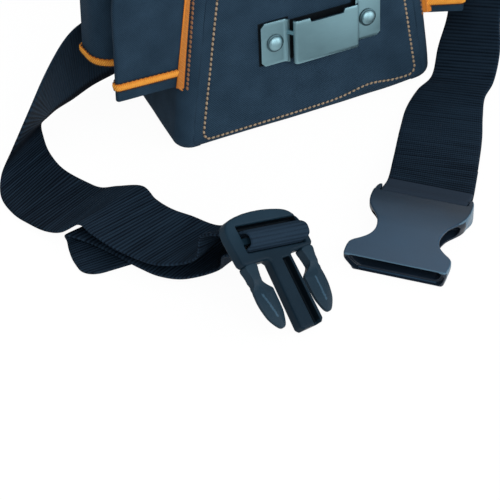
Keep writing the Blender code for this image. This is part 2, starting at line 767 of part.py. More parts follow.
# Belt: pairs of selvedge points in millimetres, lower or inner edge first, from the hem sewn under the
# female's end, round the pouch to the left, over the male's ladder bar and out to the folded tail.
HEM = [((16, -67, 4.4), (51.5, -102, 7.4))]
FEMALE_WRAP = [
    (72.5, -1.4),
    (66.5, -2.8),
    (63, -3.9),
    (60, -4.3),
    (57, -3.6),
    (55.2, -1.7),
    (54.8, 0),
    (55.2, 1.7),
    (57, 3.6),
    (60, 4.3),
    (63, 3.9),
    (66.5, 2.8),
    (72.5, 1.6),
]
AROUND = [
    ((15.5, -67.5, 8), (51, -102.5, 11)),
    ((38, -39.5, 4.5), (71, -77, 9.5)),
    ((55, -20, 2.5), (82, -61, 12)),
    ((71.5, -7, 2.5), (90.5, -50, 16)),
    ((85, -1, 4.5), (101, -43, 20)),
    ((97.5, 12, 15), (111.5, -32.5, 32.5)),
    ((111.5, 24, 30), (117.5, -21.5, 50)),
    ((120, 39, 62), (134, -5, 80)),
    ((137, 58, 80), (145, 26, 117)),
    ((141, 79, 86), (140, 71, 135)),
    ((125, 93, 81), (119, 91.5, 130)),
    ((101.5, 94.9, 67), (82.5, 94.9, 113)),
    ((54.5, 94.9, 47), (35.5, 94.9, 93)),
    ((8.5, 94.9, 29.5), (-8.5, 94.9, 76.5)),
    ((-38, 94.9, 14), (-52, 94.9, 62)),
    ((-84.5, 95.3, 2.6), (-89.5, 95.3, 52.2)),
    ((-103, 90, 2.2), (-106, 87, 52)),
    ((-113, 85.5, 2), (-118, 80.5, 51.5)),
    ((-120, 82, 2), (-130, 71, 50)),
    ((-133.5, 76.5, 2), (-148, 55, 43.5)),
    ((-141, 72, 2), (-164.5, 41, 32.5)),
    ((-147, 68, 2), (-180, 32.5, 15)),
    ((-152.5, 52, 2), (-192, 22, 8)),
    ((-155.5, 36, 2), (-198, 9.5, 3)),
    ((-155, 18, 2), (-198, -7.5, 2)),
    ((-148.5, 0, 2), (-194.5, -20, 2.5)),
    ((-144.5, -11, 4), (-189.5, -33, 4)),
    ((-138, -20.5, 9), (-184, -41, 6.8)),
    ((-128, -31.5, 12.5), (-176, -46.5, 13)),
    ((-126.5, -44.5, 11.5), (-174, -59, 14.5)),
    ((-122.5, -56, 11), (-169.5, -72, 13.5)),
    ((-115.5, -65, 10), (-162.5, -81.5, 10.8)),
    ((-104.5, -82, 10.5), (-152, -98.5, 12)),
    ((-94, -88, 19), (-138, -112, 20)),
]
MALE_WRAP = [
    (4, -18, -3.6, 1),
    (7.4, -10, -2.6, 0.93),
    (10.8, -4.6, -1.4, 0.84),
    (12, -1, -1, 0.81),
    (12.6, 2.5, -0.9, 0.81),
    (13.5, 5.2, 0.4, 0.83),
    (15.6, 6.9, 1.2, 0.84),
    (18.4, 7.1, 1.4, 0.84),
    (21, 6.2, 1.2, 0.84),
    (22.5, 3.4, -0.5, 0.82),
    (22.8, 0, -1, 0.81),
    (22.2, -4.6, -1.4, 0.83),
    (19.5, -10, -2.6, 0.93),
]
TAIL = [
    ((-84, -96, 11.5), (-128, -119, 14)),
    ((-97, -89, 5.5), (-143, -108, 6)),
    ((-106.5, -79, 4.8), (-152.5, -98.5, 4.8)),
    ((-113, -67, 4.7), (-158.5, -87.5, 4.7)),
    ((-118.5, -53, 4.7), (-165, -72, 4.7)),
    ((-125, -40, 4.7), (-172.5, -56, 4.7)),
    ((-130.5, -34, 4.6), (-179.5, -44, 4.6)),
    ((-131, -32, 3.1), (-180, -42, 3.1)),
    ((-130.7, -34, 1.6), (-179.7, -44, 1.6)),
    ((-133, -46, 1.5), (-182.7, -51, 1.5)),
    ((-136, -57, 1.5), (-186, -60, 1.5)),
    ((-136.5, -70, 1.5), (-186.5, -70.5, 1.5)),
    ((-136, -79, 1.5), (-185.8, -77.5, 1.5)),
]


def on_buckle(frame, points, inner_side):
    """Selvedge pairs on a buckle half: along it, out of its face, offset across, share of the width."""
    pairs = []
    for along, out, offset, share in points:
        middle = Vector((offset, along, out)) * MM
        half = Vector((inner_side * share * BELT_WIDTH / 2, 0, 0))
        pairs.append((frame @ (middle + half), frame @ (middle - half)))
    return pairs


def plain(pairs):
    return [(Vector(a) * MM, Vector(b) * MM) for a, b in pairs]


def eased(p0, p1, p2, p3):
    """The point halfway along a smooth curve from p1 to p2."""
    step = [max((b - a).length, 1e-6) ** 0.5 for a, b in ((p0, p1), (p1, p2), (p2, p3))]
    t0, t1 = 0.0, step[0]
    t2 = t1 + step[1]
    t3 = t2 + step[2]
    t = (t1 + t2) / 2
    a1 = p0 * ((t1 - t) / (t1 - t0)) + p1 * ((t - t0) / (t1 - t0))
    a2 = p1 * ((t2 - t) / (t2 - t1)) + p2 * ((t - t1) / (t2 - t1))
    a3 = p2 * ((t3 - t) / (t3 - t2)) + p3 * ((t - t2) / (t3 - t2))
    b1 = a1 * ((t2 - t) / (t2 - t0)) + a2 * ((t - t0) / (t2 - t0))
    b2 = a2 * ((t3 - t) / (t3 - t1)) + a3 * ((t - t1) / (t3 - t1))
    return b1 * ((t2 - t) / (t2 - t1)) + b2 * ((t - t1) / (t2 - t1))


female_points = [(along, out, 0, 1) for along, out in FEMALE_WRAP]
male_points = [(-along, out, offset, share) for along, out, offset, share in MALE_WRAP]
route = plain(HEM) + on_buckle(female_frame, female_points, -1) + plain(AROUND)
route += on_buckle(male_frame @ ladder, male_points, 1) + plain(TAIL)
belt_rows = []
last = len(route) - 1
for i, pair in enumerate(route):
    belt_rows.append(pair)
    if i < last:
        knots = [route[max(i - 1, 0)], pair, route[i + 1], route[min(i + 2, last)]]
        ends = []
        for edge in (0, 1):
            p0, p1, p2, p3 = (knot[edge] for knot in knots)
            p0 = p1 * 2 - p2 if i == 0 else p0
            p3 = p2 * 2 - p1 if i + 2 > last else p3
            ends.append(eased(p0, p1, p2, p3))
        belt_rows.append(tuple(ends))
sheet("belt_webbing", belt_rows, BELT_CLOTH, WEBBING, root)
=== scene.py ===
"""Looks of the electrician's tool pouch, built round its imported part: canvas pocket, tool sleeves, steel clip,
side-release buckle and webbing belt, seen from above its front left corner."""

import math

import bmesh
import bpy
from mathutils import Matrix, Vector, noise


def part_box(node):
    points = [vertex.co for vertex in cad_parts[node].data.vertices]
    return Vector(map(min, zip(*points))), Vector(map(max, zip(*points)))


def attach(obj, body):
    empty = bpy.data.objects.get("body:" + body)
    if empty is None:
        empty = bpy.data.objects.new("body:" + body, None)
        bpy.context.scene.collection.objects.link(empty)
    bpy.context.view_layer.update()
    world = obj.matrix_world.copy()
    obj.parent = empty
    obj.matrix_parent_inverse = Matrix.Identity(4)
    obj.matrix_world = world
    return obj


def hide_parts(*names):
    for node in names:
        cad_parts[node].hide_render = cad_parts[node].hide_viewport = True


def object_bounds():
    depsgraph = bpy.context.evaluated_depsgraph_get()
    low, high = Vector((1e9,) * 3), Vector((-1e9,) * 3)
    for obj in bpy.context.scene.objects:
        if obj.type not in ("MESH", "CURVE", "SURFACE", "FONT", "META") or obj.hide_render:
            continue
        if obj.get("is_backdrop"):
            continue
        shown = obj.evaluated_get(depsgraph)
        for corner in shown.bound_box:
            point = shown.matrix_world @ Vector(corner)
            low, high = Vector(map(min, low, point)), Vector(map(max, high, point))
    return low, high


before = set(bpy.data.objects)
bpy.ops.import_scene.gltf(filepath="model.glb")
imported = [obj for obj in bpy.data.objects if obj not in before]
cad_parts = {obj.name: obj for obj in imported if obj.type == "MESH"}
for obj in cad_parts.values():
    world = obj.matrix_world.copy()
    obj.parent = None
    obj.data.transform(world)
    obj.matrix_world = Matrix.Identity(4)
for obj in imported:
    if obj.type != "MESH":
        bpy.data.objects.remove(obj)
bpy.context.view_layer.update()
back_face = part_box("back_panel")[1].y


def at(x, y, z):
    """A point from millimetres; y is measured from the foot of the pocket's front."""
    return Vector((x * 0.001, back_face + (y - 93) * 0.001, z * 0.001))


# Pocket walls: canvas round both sides and the front, turned under at the foot.
# The outer face narrows with height, leans back at the front and is drawn in towards the back.


class Wire:
    """A shader socket that takes arithmetic; node() adds any other node."""

    def __init__(self, tree, socket):
        self.tree = tree
        self.socket = socket

    def node(self, kind, inputs=None, output=0, **settings):
        made = self.tree.nodes.new("ShaderNode" + kind)
        for key, value in settings.items():
            setattr(made, key, value)
        for key, value in (inputs or {}).items():
            if isinstance(value, Wire):
                self.tree.links.new(value.socket, made.inputs[key])
            else:
                made.inputs[key].default_value = value
        return Wire(self.tree, made.outputs[output])

    def maths(self, operation, a, b=0.0):
        return self.node("Math", {0: a, 1: b}, operation=operation)

    def __add__(self, other):
        return self.maths("ADD", self, other)

    def __sub__(self, other):
        return self.maths("SUBTRACT", self, other)

    def __rsub__(self, other):
        return self.maths("SUBTRACT", other, self)

    def __mul__(self, other):
        return self.maths("MULTIPLY", self, other)

    def __truediv__(self, other):
        return self.maths("DIVIDE", self, other)

    def __rtruediv__(self, other):
        return self.maths("DIVIDE", other, self)

    def __pow__(self, other):
        return self.maths("POWER", self, other)

    __radd__ = __add__
    __rmul__ = __mul__

    def wave(self, pitch):
        """A sine of the given pitch in metres, from -1 to 1."""
        return self.maths("SINE", self * (2 * math.pi / pitch))

    def speckle(self, scale, detail=2.0):
        return self.node("TexNoise", {"Vector": self, "Scale": scale, "Detail": detail})

    def within(self, middle, half, soft):
        """1 inside a stretch of this value, falling to 0 over the soft length outside it."""
        away = self.maths("ABSOLUTE", self - middle)
        return self.node("Math", {0: half + soft - away, 1: 1 / soft}, operation="MULTIPLY", use_clamp=True)

    def between(self, dark, light):
        """A colour mixed by this factor."""
        return self.node("MixRGB", {"Fac": self, "Color1": (*dark, 1), "Color2": (*light, 1)})


def surface(name, roughness, metallic=0.0, specular=0.5):
    """A new material: returns it, its coordinates and a function that links a Principled input."""
    material = bpy.data.materials.new(name)
    material.use_nodes = True
    tree = material.node_tree
    shader = tree.nodes["Principled BSDF"].inputs
    shader["Roughness"].default_value = roughness
    shader["Metallic"].default_value = metallic
    shader["Specular IOR Level"].default_value = specular
    coordinates = tree.nodes.new("ShaderNodeTexCoord").outputs

    def link(target, wire):
        tree.links.new(wire.socket, shader[target])

    return material, {key: Wire(tree, coordinates[key]) for key in ("UV", "Object")}, link


def cloth(name, dark, light, pitch, slant=1.0, depth=0.0002, source="UV", roughness=0.88, painted_shadow=()):
    """Woven cloth: slanted twill lines crossed by the other yarn; boxes of painted shadow (x, z and halves) are
    dark.
    """
    material, places, link = surface(name, roughness, specular=0.12)
    place = places[source]
    u = place.node("SeparateXYZ", {0: place}, 0)
    v = place.node("SeparateXYZ", {0: place}, 1 if source == "UV" else 2)
    twill = (u * slant + v).wave(pitch)
    yarn = (u - v * slant).wave(pitch * 0.7)
    mottle = place.speckle(60.0, 4.0)
    grain = place.speckle(1500.0)
    height = twill * 0.5 + yarn * 0.22 + grain * 1.1
    tone = height * 0.5 + mottle * 0.8 - 0.3
    colour = tone.between(dark, light)
    # Painted shadow: each box is mixed to near-black.
    for x, z, half_x, half_z in painted_shadow:
        spot = places["Object"]
        part = spot.node("SeparateXYZ", {0: spot}, 0).within(x, half_x, 0.0006)
        part = part * spot.node("SeparateXYZ", {0: spot}, 2).within(z, half_z, 0.0006)
        colour = part.node("MixRGB", {"Fac": part, "Color1": colour, "Color2": (0.001, 0.003, 0.005, 1)})
    link("Base Color", colour)
    bump = height.node("Bump", {"Height": height, "Strength": 0.55, "Distance": depth})
    link("Normal", bump)
    return material


def baked(obj):
    """Applies an object's modifiers to its mesh."""
    graph = bpy.context.evaluated_depsgraph_get()
    mesh = bpy.data.meshes.new_from_object(obj.evaluated_get(graph))
    obj.modifiers.clear()
    obj.data = mesh
    return obj


def shaded(obj, angle=40):
    obj.data.shade_smooth()
    obj.data.set_sharp_from_angle(angle=math.radians(angle))
    return obj


def linked(name, mesh, material):
    obj = bpy.data.objects.new(name, mesh)
    bpy.context.scene.collection.objects.link(obj)
    mesh.materials.clear()
    mesh.materials.append(material)
    return obj


def skin(name, rows, thickness, material, closed=False, edge=0.4, inside=None):
    """A sheet: rows of points on its outer face, thickened inwards, with eased edges and UVs in metres."""
    wide = len(rows[0])
    faces = []
    for i in range(len(rows) - 1):
        for j in range(wide if closed else wide - 1):
            k = (j + 1) % wide
            faces.append((i * wide + j, i * wide + k, (i + 1) * wide + k, (i + 1) * wide + j))
    points = [point for row in rows for point in row]
    middle = inside or sum(points, Vector()) / len(points)
    facing = 0.0
    for face in faces:
        a, b, c = (points[n] for n in face[:3])
        facing += (b - a).cross(c - a).dot(a - middle)
    across = [0.0]
    mean_row = rows[len(rows) // 2]
    for j in range(wide):
        across.append(across[-1] + (mean_row[(j + 1) % wide] - mean_row[j]).length)
    along = [0.0]
    for i in range(len(rows) - 1):
        along.append(along[-1] + (rows[i + 1][wide // 2] - rows[i][wide // 2]).length)
    mesh = bpy.data.meshes.new(name)
    mesh.from_pydata(points, [], faces)
    layer = mesh.uv_layers.new(name="UVMap")
    for polygon in mesh.polygons:
        columns = [mesh.loops[n].vertex_index % wide for n in polygon.loop_indices]
        wraps = closed and 0 in columns and wide - 1 in columns
        for n, column in zip(polygon.loop_indices, columns):
            column = wide if wraps and column == 0 else column
            layer.data[n].uv = (across[column], along[mesh.loops[n].vertex_index // wide])
    if facing < 0:
        mesh.flip_normals()
    obj = linked(name, mesh, material)
    solid = obj.modifiers.new("thickness", "SOLIDIFY")
    solid.thickness = thickness
    solid.offset = -1
    bevel = obj.modifiers.new("edge", "BEVEL")
    bevel.width = thickness * edge
    bevel.segments = 2
    bevel.limit_method = "ANGLE"
    bevel.angle_limit = math.radians(60)
    return shaded(baked(obj), 50)


def shown(obj, body, slot, *nodes):
    """Puts a finished piece on its CAD body, in place of CAD nodes."""
    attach(obj, body)
    if nodes:
        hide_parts(*nodes)
    return obj


LEAN = math.tan(math.radians(5.8))
ROUND = 8.0
FRONT_TOP = 150.0
PANEL_FOOT = 2.6
RIM_TUCK = 1.8
CANVAS = ((0.005, 0.016, 0.030), (0.025, 0.054, 0.089), 0.0013)
canvas = cloth("canvas", *CANVAS)
lining = cloth("canvas_plain", (0.005, 0.014, 0.026), (0.020, 0.043, 0.070), 0.0013, source="Object")


def half_width(z, y=0.0):
    start = LEAN * z + 9
    return 89 - 0.13 * z - 9 * max(0.0, (y - start) / (89.2 - start))


def rim_height(y):
    start = LEAN * FRONT_TOP + 9
    return FRONT_TOP + 22 * min(1.0, max(0.0, (y - start) / (89.2 - start)))


def foot(z):
    """How far the rounded foot is drawn in at a height."""
    return ROUND - math.sqrt(ROUND**2 - (ROUND - z) ** 2) if z < ROUND else 0.0


def corner(z):
    """Radius of the front corners in plan, softer near the foot."""
    return 9 + 3 * max(0.0, 1 - z / 25) ** 2


def panel_half(z):
    """Half width of the front panel, with its lower corners rounded."""
    rise = z - PANEL_FOOT
    cut = 7 - math.sqrt(max(0.0, 49 - (7 - rise) ** 2)) if rise < 7 else 0.0
    return 80.6 - 0.15 * z - cut


def smooth(share):
    share = min(1.0, max(0.0, share))
    return share * share * (3 - 2 * share)


def lifted(x, y, z):
    """The right front corner of the foot stands a little off the floor."""
    return at(x, y, z + 3 * smooth((x - 50) / 35) * max(0.0, 1 - y / 40) * max(0.0, 1 - z / 45))


def wall_row(height, inset):
    """Plan of the wall from the left rear round the front to the right rear; height gives z over y."""
    plan = []
    z = height(LEAN * FRONT_TOP)
    front = LEAN * z
    radius = corner(z)
    wide = half_width(z, front + radius)
    for step in range(16):
        y = 89.2 + (front + radius - 89.2) * step / 16
        side_z = height(y)
        swell = 1.2 * math.sin(math.pi * step / 16) * math.sin(math.pi * min(1, side_z / 150))
        plan.append((half_width(side_z, y) + swell - inset, y, side_z))
    for step in range(13):
        turn = math.pi / 2 * step / 12
        reach = radius - min(inset, radius - 1.5)
        x = wide - radius + reach * math.cos(turn)
        plan.append((x, front + radius - reach * math.sin(turn) + max(0, inset - radius + 1.5), z))
    edge = min(panel_half(z) + 0.3, wide - radius - 0.4)
    plan.append((edge, front + inset, z))
    for step in range(11):
        plan.append(((edge - 1.3) * (1 - step / 11), front + inset, z))
    left = [(-x, y, z) for x, y, z in plan]
    middle = [(0, front + inset, z)]
    row = []
    for x, y, z in left + middle + plan[::-1]:
        wrinkle = 0.5 * noise.noise(Vector((x, y, z)) * 0.03)
        under = 1.9 * min(1.0, max(0.0, panel_half(z) + 0.3 - abs(x)) / 1.3) if y < 40 else 0.0
        row.append(lifted(x + math.copysign(wrinkle, x), y + 0.6 * wrinkle + under, z))
    return row


wall_rows = [wall_row(lambda y: 0.0, ROUND + 7)]
for step in range(7):
    turn = math.pi / 2 * step / 7
    low = ROUND * (1 - math.cos(turn))
    wall_rows.append(wall_row(lambda y: low, ROUND * (1 - math.sin(turn))))
for step in range(25):
    share = step / 24
    wall_rows.append(wall_row(lambda y: ROUND + (rim_height(y) + RIM_TUCK - ROUND) * share, 0.0))
walls = skin("pocket_wall", wall_rows, 0.0022, canvas, inside=at(0, 60, 80))
shown(walls, "pouch", "canvas", "gusset_left", "gusset_right")

# Bottom board: a stiff flat board covered in canvas.
# It lies inside the turned-under foot and is sewn in with it.
board_rows = []
for inset in (3.4, 20, 44):
    ring = []
    for x, y in ((-1, 89.2), (-1, 8), (0, 1), (1, 8), (1, 89.2)):
        ring.append(at(x * (half_width(4, y) - inset), min(y, 89) + (inset if y < 50 else -0.5), 2.8))
    board_rows.append(ring)
board = skin("bottom_board", board_rows, 0.003, lining, inside=at(0, 50, 20))
shown(board, "pouch", "canvas", "base_panel")

# Front panel: canvas laid over the wall and sewn down by a line of pale thread near its edge.
# The cloth dips along the seam, which rides up over a dent at the lower right.
SEAM_HALF = 74.75
SEAM_TAPER = 0.156
SEAM_SHIFT = 0.9
SEAM_ROUND = 5.0


def seam_z(x):
    """Height of the lower seam."""
    wave = 4.2 * math.exp(-(((x - 42) / 17) ** 2)) + 0.6 * smooth((x - 50) / 25)
    return 5.9 + 0.8 * smooth((x + 60) / 70) + wave


def inside_seam(x, z):
    """Distance inwards from the seam."""
    aside = SEAM_HALF - SEAM_TAPER * z - abs(x - SEAM_SHIFT)
    above = z - seam_z(x)
    if aside < SEAM_ROUND and above < SEAM_ROUND:
        return SEAM_ROUND - math.hypot(SEAM_ROUND - aside, SEAM_ROUND - above)
    return min(aside, above)


def panel_y(x, z):
    """Outer face of the front panel, which follows the wall round its corners and foot."""
    radius = corner(z)
    over = min(radius - 0.5, max(0.0, abs(x) - half_width(z, LEAN * z + radius) + radius))
    bend = radius - math.sqrt(radius**2 - over**2)
    depth = inside_seam(x, z)
    seam = 0.75 * math.exp(-((depth / 0.8) ** 2)) + 0.15 * smooth(-depth / 2)
    dent = 1.1 * math.exp(-(((x - 44) / 19) ** 2)) * smooth((12 - z) / 8)
    wrinkle = 0.35 * noise.noise(Vector((x, 7.0, z)) * 0.035)
    return LEAN * z + foot(z) + bend + 0.2 + seam + dent + wrinkle


panel_rows = []
for step in range(141):
    share = step / 140
    z = PANEL_FOOT + (FRONT_TOP + RIM_TUCK - PANEL_FOOT) * share**1.5
    half = panel_half(z)
    panel_rows.append([lifted(half * k / 70, panel_y(half * k / 70, z), z) for k in range(-70, 71)])
# Painted shadow: near-black boxes in the front canvas under and beside the clip's tabs and bridge, where the clip
# shades the cloth.
shadow_round_clip = (
    (-0.0241, 0.0574, 0.0098, 0.0134),
    (0.0074, 0.0560, 0.022, 0.0124),
    (0.0385, 0.0574, 0.0098, 0.0134),
)
front_canvas = cloth("canvas_front", *CANVAS, painted_shadow=shadow_round_clip)
panel = skin("front_panel_cloth", panel_rows, 0.0016, front_canvas, inside=at(0, 50, 80))
shown(panel, "pouch", "canvas", "front_panel")


def thread_group():
    """Geometry Nodes: one thread repeated along a line, turned about the cloth's outward direction."""
    group = bpy.data.node_groups.new("thread_run", "GeometryNodeTree")
    face = group.interface
    face.new_socket("Line", in_out="INPUT", socket_type="NodeSocketGeometry")
    for label in ("Pitch", "Length", "Radius", "Turn"):
        face.new_socket(label, in_out="INPUT", socket_type="NodeSocketFloat")
    face.new_socket("Material", in_out="INPUT", socket_type="NodeSocketMaterial")
    face.new_socket("Threads", in_out="OUTPUT", socket_type="NodeSocketGeometry")
    nodes = group.nodes

    def add(kind, links=None, **settings):
        made = nodes.new(kind)
        for key, value in settings.items():
            setattr(made, key, value)
        for key, value in (links or {}).items():
            if isinstance(value, bpy.types.NodeSocket):
                group.links.new(value, made.inputs[key])
            else:
                made.inputs[key].default_value = value
        return made

    given = add("NodeGroupInput").outputs
    line = add("GeometryNodeMeshToCurve", {"Mesh": given["Line"]})
    points = add("GeometryNodeResampleCurve", {"Curve": line.outputs[0], "Length": given["Pitch"]}, mode="LENGTH")
    out = add("GeometryNodeInputNamedAttribute", {"Name": "out"}, data_type="FLOAT_VECTOR").outputs[0]
    tangent = add("GeometryNodeInputTangent").outputs[0]
    turned = add("ShaderNodeVectorRotate", {"Vector": tangent, "Axis": out, "Angle": given["Turn"]})
    first = add("FunctionNodeAlignRotationToVector", {"Vector": turned.outputs[0]}, axis="X")
    aimed = add(
        "FunctionNodeAlignRotationToVector",
        {"Rotation": first.outputs[0], "Vector": out},
        axis="Z",
        pivot_axis="X",
    )
    half = add("ShaderNodeMath", {0: given["Length"], 1: 0.5}, operation="MULTIPLY")
    size = add("ShaderNodeCombineXYZ", {0: half.outputs[0], 1: given["Radius"], 2: given["Radius"]})
    ball = add("GeometryNodeMeshUVSphere", {"Segments": 8, "Rings": 6, "Radius": 1.0})
    thread = add("GeometryNodeTransform", {"Geometry": ball.outputs[0], "Scale": size.outputs[0]})
    copies = add(
        "GeometryNodeInstanceOnPoints",
        {"Points": points.outputs[0], "Instance": thread.outputs[0], "Rotation": aimed.outputs[0]},
    )
    real = add("GeometryNodeRealizeInstances", {"Geometry": copies.outputs[0]})
    coloured = add("GeometryNodeSetMaterial", {"Geometry": real.outputs[0], "Material": given["Material"]})
    add("NodeGroupOutput", {0: coloured.outputs[0]})
    return group


THREADS = thread_group()


def threads(name, path, outs, pitch, length, radius, turn, material):
    """A run of threads along a path of points; outs are the cloth's outward directions there."""
    mesh = bpy.data.meshes.new(name)
    mesh.from_pydata(path, [(i, i + 1) for i in range(len(path) - 1)], [])
    attribute = mesh.attributes.new("out", "FLOAT_VECTOR", "POINT")
    attribute.data.foreach_set("vector", [c for direction in outs for c in direction])
    obj = bpy.data.objects.new(name, mesh)
    bpy.context.scene.collection.objects.link(obj)
    run = obj.modifiers.new("run", "NODES")
    run.node_group = THREADS
    given = {"Pitch": pitch, "Length": length, "Radius": radius, "Turn": turn, "Material": material}
    for item in THREADS.interface.items_tree:
        if item.in_out == "INPUT" and item.name in given:
            run[item.identifier] = given[item.name]
    baked(obj)
    obj.data.shade_smooth()
    return obj


def yarn(name, dark, light):
    """Twisted sewing thread."""
    material, places, link = surface(name, 0.7, specular=0.3)
    place = places["Object"]
    x = place.node("SeparateXYZ", {0: place}, 0)
    z = place.node("SeparateXYZ", {0: place}, 2)
    twist = (x + z).wave(0.0009)
    link("Base Color", (twist * 0.25 + place.speckle(700.0) * 0.6 + 0.15).between(dark, light))
    link("Normal", twist.node("Bump", {"Height": twist, "Strength": 0.4, "Distance": 0.0002}))
    return material


tan_yarn = yarn("tan_thread", (0.12, 0.085, 0.055), (0.46, 0.35, 0.24))
dark_yarn = yarn("dark_thread", (0.010, 0.007, 0.005), (0.050, 0.027, 0.014))
corners = []
for side in (-1, 1):
    z = seam_z(side * 70) + SEAM_ROUND
    corners.append((side * (SEAM_HALF - SEAM_ROUND - SEAM_TAPER * z) + SEAM_SHIFT, z))
left, right = corners
seam = []
for step in range(70):
    z = FRONT_TOP - 1 + (left[1] - FRONT_TOP + 1) * step / 70
    seam.append((SEAM_SHIFT - (SEAM_HALF - SEAM_TAPER * z), z))
for step in range(9):
    turn = math.pi / 2 * step / 8
    seam.append((left[0] - SEAM_ROUND * math.cos(turn), left[1] - SEAM_ROUND * math.sin(turn)))
for step in range(1, 70):
    x = left[0] + (right[0] - left[0]) * step / 70
    seam.append((x, seam_z(x)))
for step in range(9):
    turn = math.pi / 2 * step / 8
    seam.append((right[0] + SEAM_ROUND * math.sin(turn), right[1] - SEAM_ROUND * math.cos(turn)))
for step in range(1, 71):
    z = right[1] + (FRONT_TOP - 1 - right[1]) * step / 70
    seam.append((SEAM_SHIFT + SEAM_HALF - SEAM_TAPER * z, z))
seam_path = [lifted(x, panel_y(x, z) - 0.1, z) for x, z in seam]
faced = [(0, -1, 0.1)] * len(seam)
stitches = threads("front_stitches", seam_path, faced, 0.0031, 0.0027, 0.00088, 0.2, tan_yarn)
shown(stitches, "pouch", "orange_tape")
seam_path[0] = seam_path[0].lerp(seam_path[1], 0.75)
holes = threads("front_stitch_holes", seam_path, faced, 0.0031, 0.0016, 0.0007, 1.3, dark_yarn)
shown(holes, "pouch", "orange_tape")

# Back panel: stiffened canvas with rounded top corners, its edge tucked into a round binding
# and sewn down by a line of pale thread.
BACK_ROUND = 39.2
SEWN_IN = 6.0
back_low, back_high = (limit * 1000 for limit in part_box("back_panel"))
back_half = back_high.x + 1.2
back_top = back_high.z + 1.2
back_rows = []
for step in range(49):
    z = back_low.z + (back_top - back_low.z) * step / 48
    over = max(0.0, z - back_top + BACK_ROUND)
    half = back_half - BACK_ROUND + math.sqrt(BACK_ROUND**2 - over**2)
    back_rows.append([at(half * k / 12, 93, z) for k in range(-12, 13)])
back = skin("back_panel_cloth", back_rows, 0.0035, canvas, edge=0.1, inside=at(0, 60, 120))
shown(back, "pouch", "canvas", "back_panel")
sewn = [(-back_half + SEWN_IN, back_low.z + 4), (-back_half + SEWN_IN, back_top - BACK_ROUND)]
sewn_round = BACK_ROUND - SEWN_IN
for step in range(13):
    turn = math.pi / 2 * step / 12
    x = -back_half + BACK_ROUND - sewn_round * math.cos(turn)
    sewn.append((x, back_top - BACK_ROUND + sewn_round * math.sin(turn)))
sewn += [(-x, z) for x, z in reversed(sewn)]
sewn_path = [at(x, 93.2, z) for x, z in sewn]
backwards = [(0, 1, 0)] * len(sewn)
back_run = threads("back_stitches", sewn_path, backwards, 0.0032, 0.0027, 0.0006, 0.2, tan_yarn)
shown(back_run, "pouch", "orange_tape")

# Rim and back bindings, belt loops, divider and tool loops: plain sewn pieces
# that keep the part's own shape.
edging = cloth("binding_tape", (0.006, 0.010, 0.015), (0.015, 0.022, 0.030), 0.0011, source="Object")
webbing_plain = cloth("loop_webbing", (0.004, 0.008, 0.013), (0.012, 0.020, 0.030), 0.0022, 0.0, source="Object")
for names, material, slot in (
    (("rim_binding", "back_binding"), edging, "binding"),
    (("divider_panel",), lining, "canvas"),
    (("belt_loop_left", "belt_loop_right", "tool_loop_band"), webbing_plain, "webbing"),
):
    for name in names:
        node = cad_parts[name]
        node.data.materials.clear()
        node.data.materials.append(material)
        if name.endswith("binding"):
            shaded(node, 60)

# Tool sleeves: open tubes of canvas, sewn to the pocket's sides by their edges.
# Each has a braided orange tape near its lower hem, held by dark stitches along both edges; these near-unbroken
# dark runs are also painted shade along the tape's edges.


def fillet(corners, steps=8):
    """Rounds an open outline's corners (x, y, radius) and fills in its straight runs."""
    outline = []
    count = len(corners)
    for i, (x, y, radius) in enumerate(corners):
        here = Vector((x, y))
        back = (Vector(corners[i - 1][:2]) - here).normalized()
        ahead = (Vector(corners[(i + 1) % count][:2]) - here).normalized()
        half = back.angle(ahead) / 2
        reach = radius / math.tan(half)
        centre = here + (back + ahead).normalized() * (radius / math.sin(half))
        start = here + back * reach - centre
        sweep = start.angle_signed(here + ahead * reach - centre)
        for step in range(steps + 1):
            outline.append(centre + Matrix.Rotation(-sweep * step / steps, 2) @ start)
    filled = []
    for i, point in enumerate(outline):
        ahead = outline[(i + 1) % len(outline)]
        parts = 10 if (i + 1) % (steps + 1) == 0 else 1
        filled += [point.lerp(ahead, part / parts) for part in range(parts)]
    return filled


def sleeve_plan(z, side, reach, near, far, rear, fold, front_radius, rear_radius, leaning, grow=0.0):
    """Plan of a sleeve: out along its front, round its outer fold and back to the wall."""
    shift = 0.45 * LEAN * z if leaning else 0.0
    outer = half_width(47 + max(0.0, z - 100)) + 1.2 + reach + grow
    corners = [
        (side * (half_width(z, near + shift) + 1.2), near + shift - grow, 0.8),
        (side * outer, far + shift - grow, front_radius + grow),
        (side * outer, far + fold + shift + grow, rear_radius + grow),
        (side * (half_width(z, rear + shift) + 1.2), rear + shift + grow, 0.8),
    ]
    return fillet(corners)


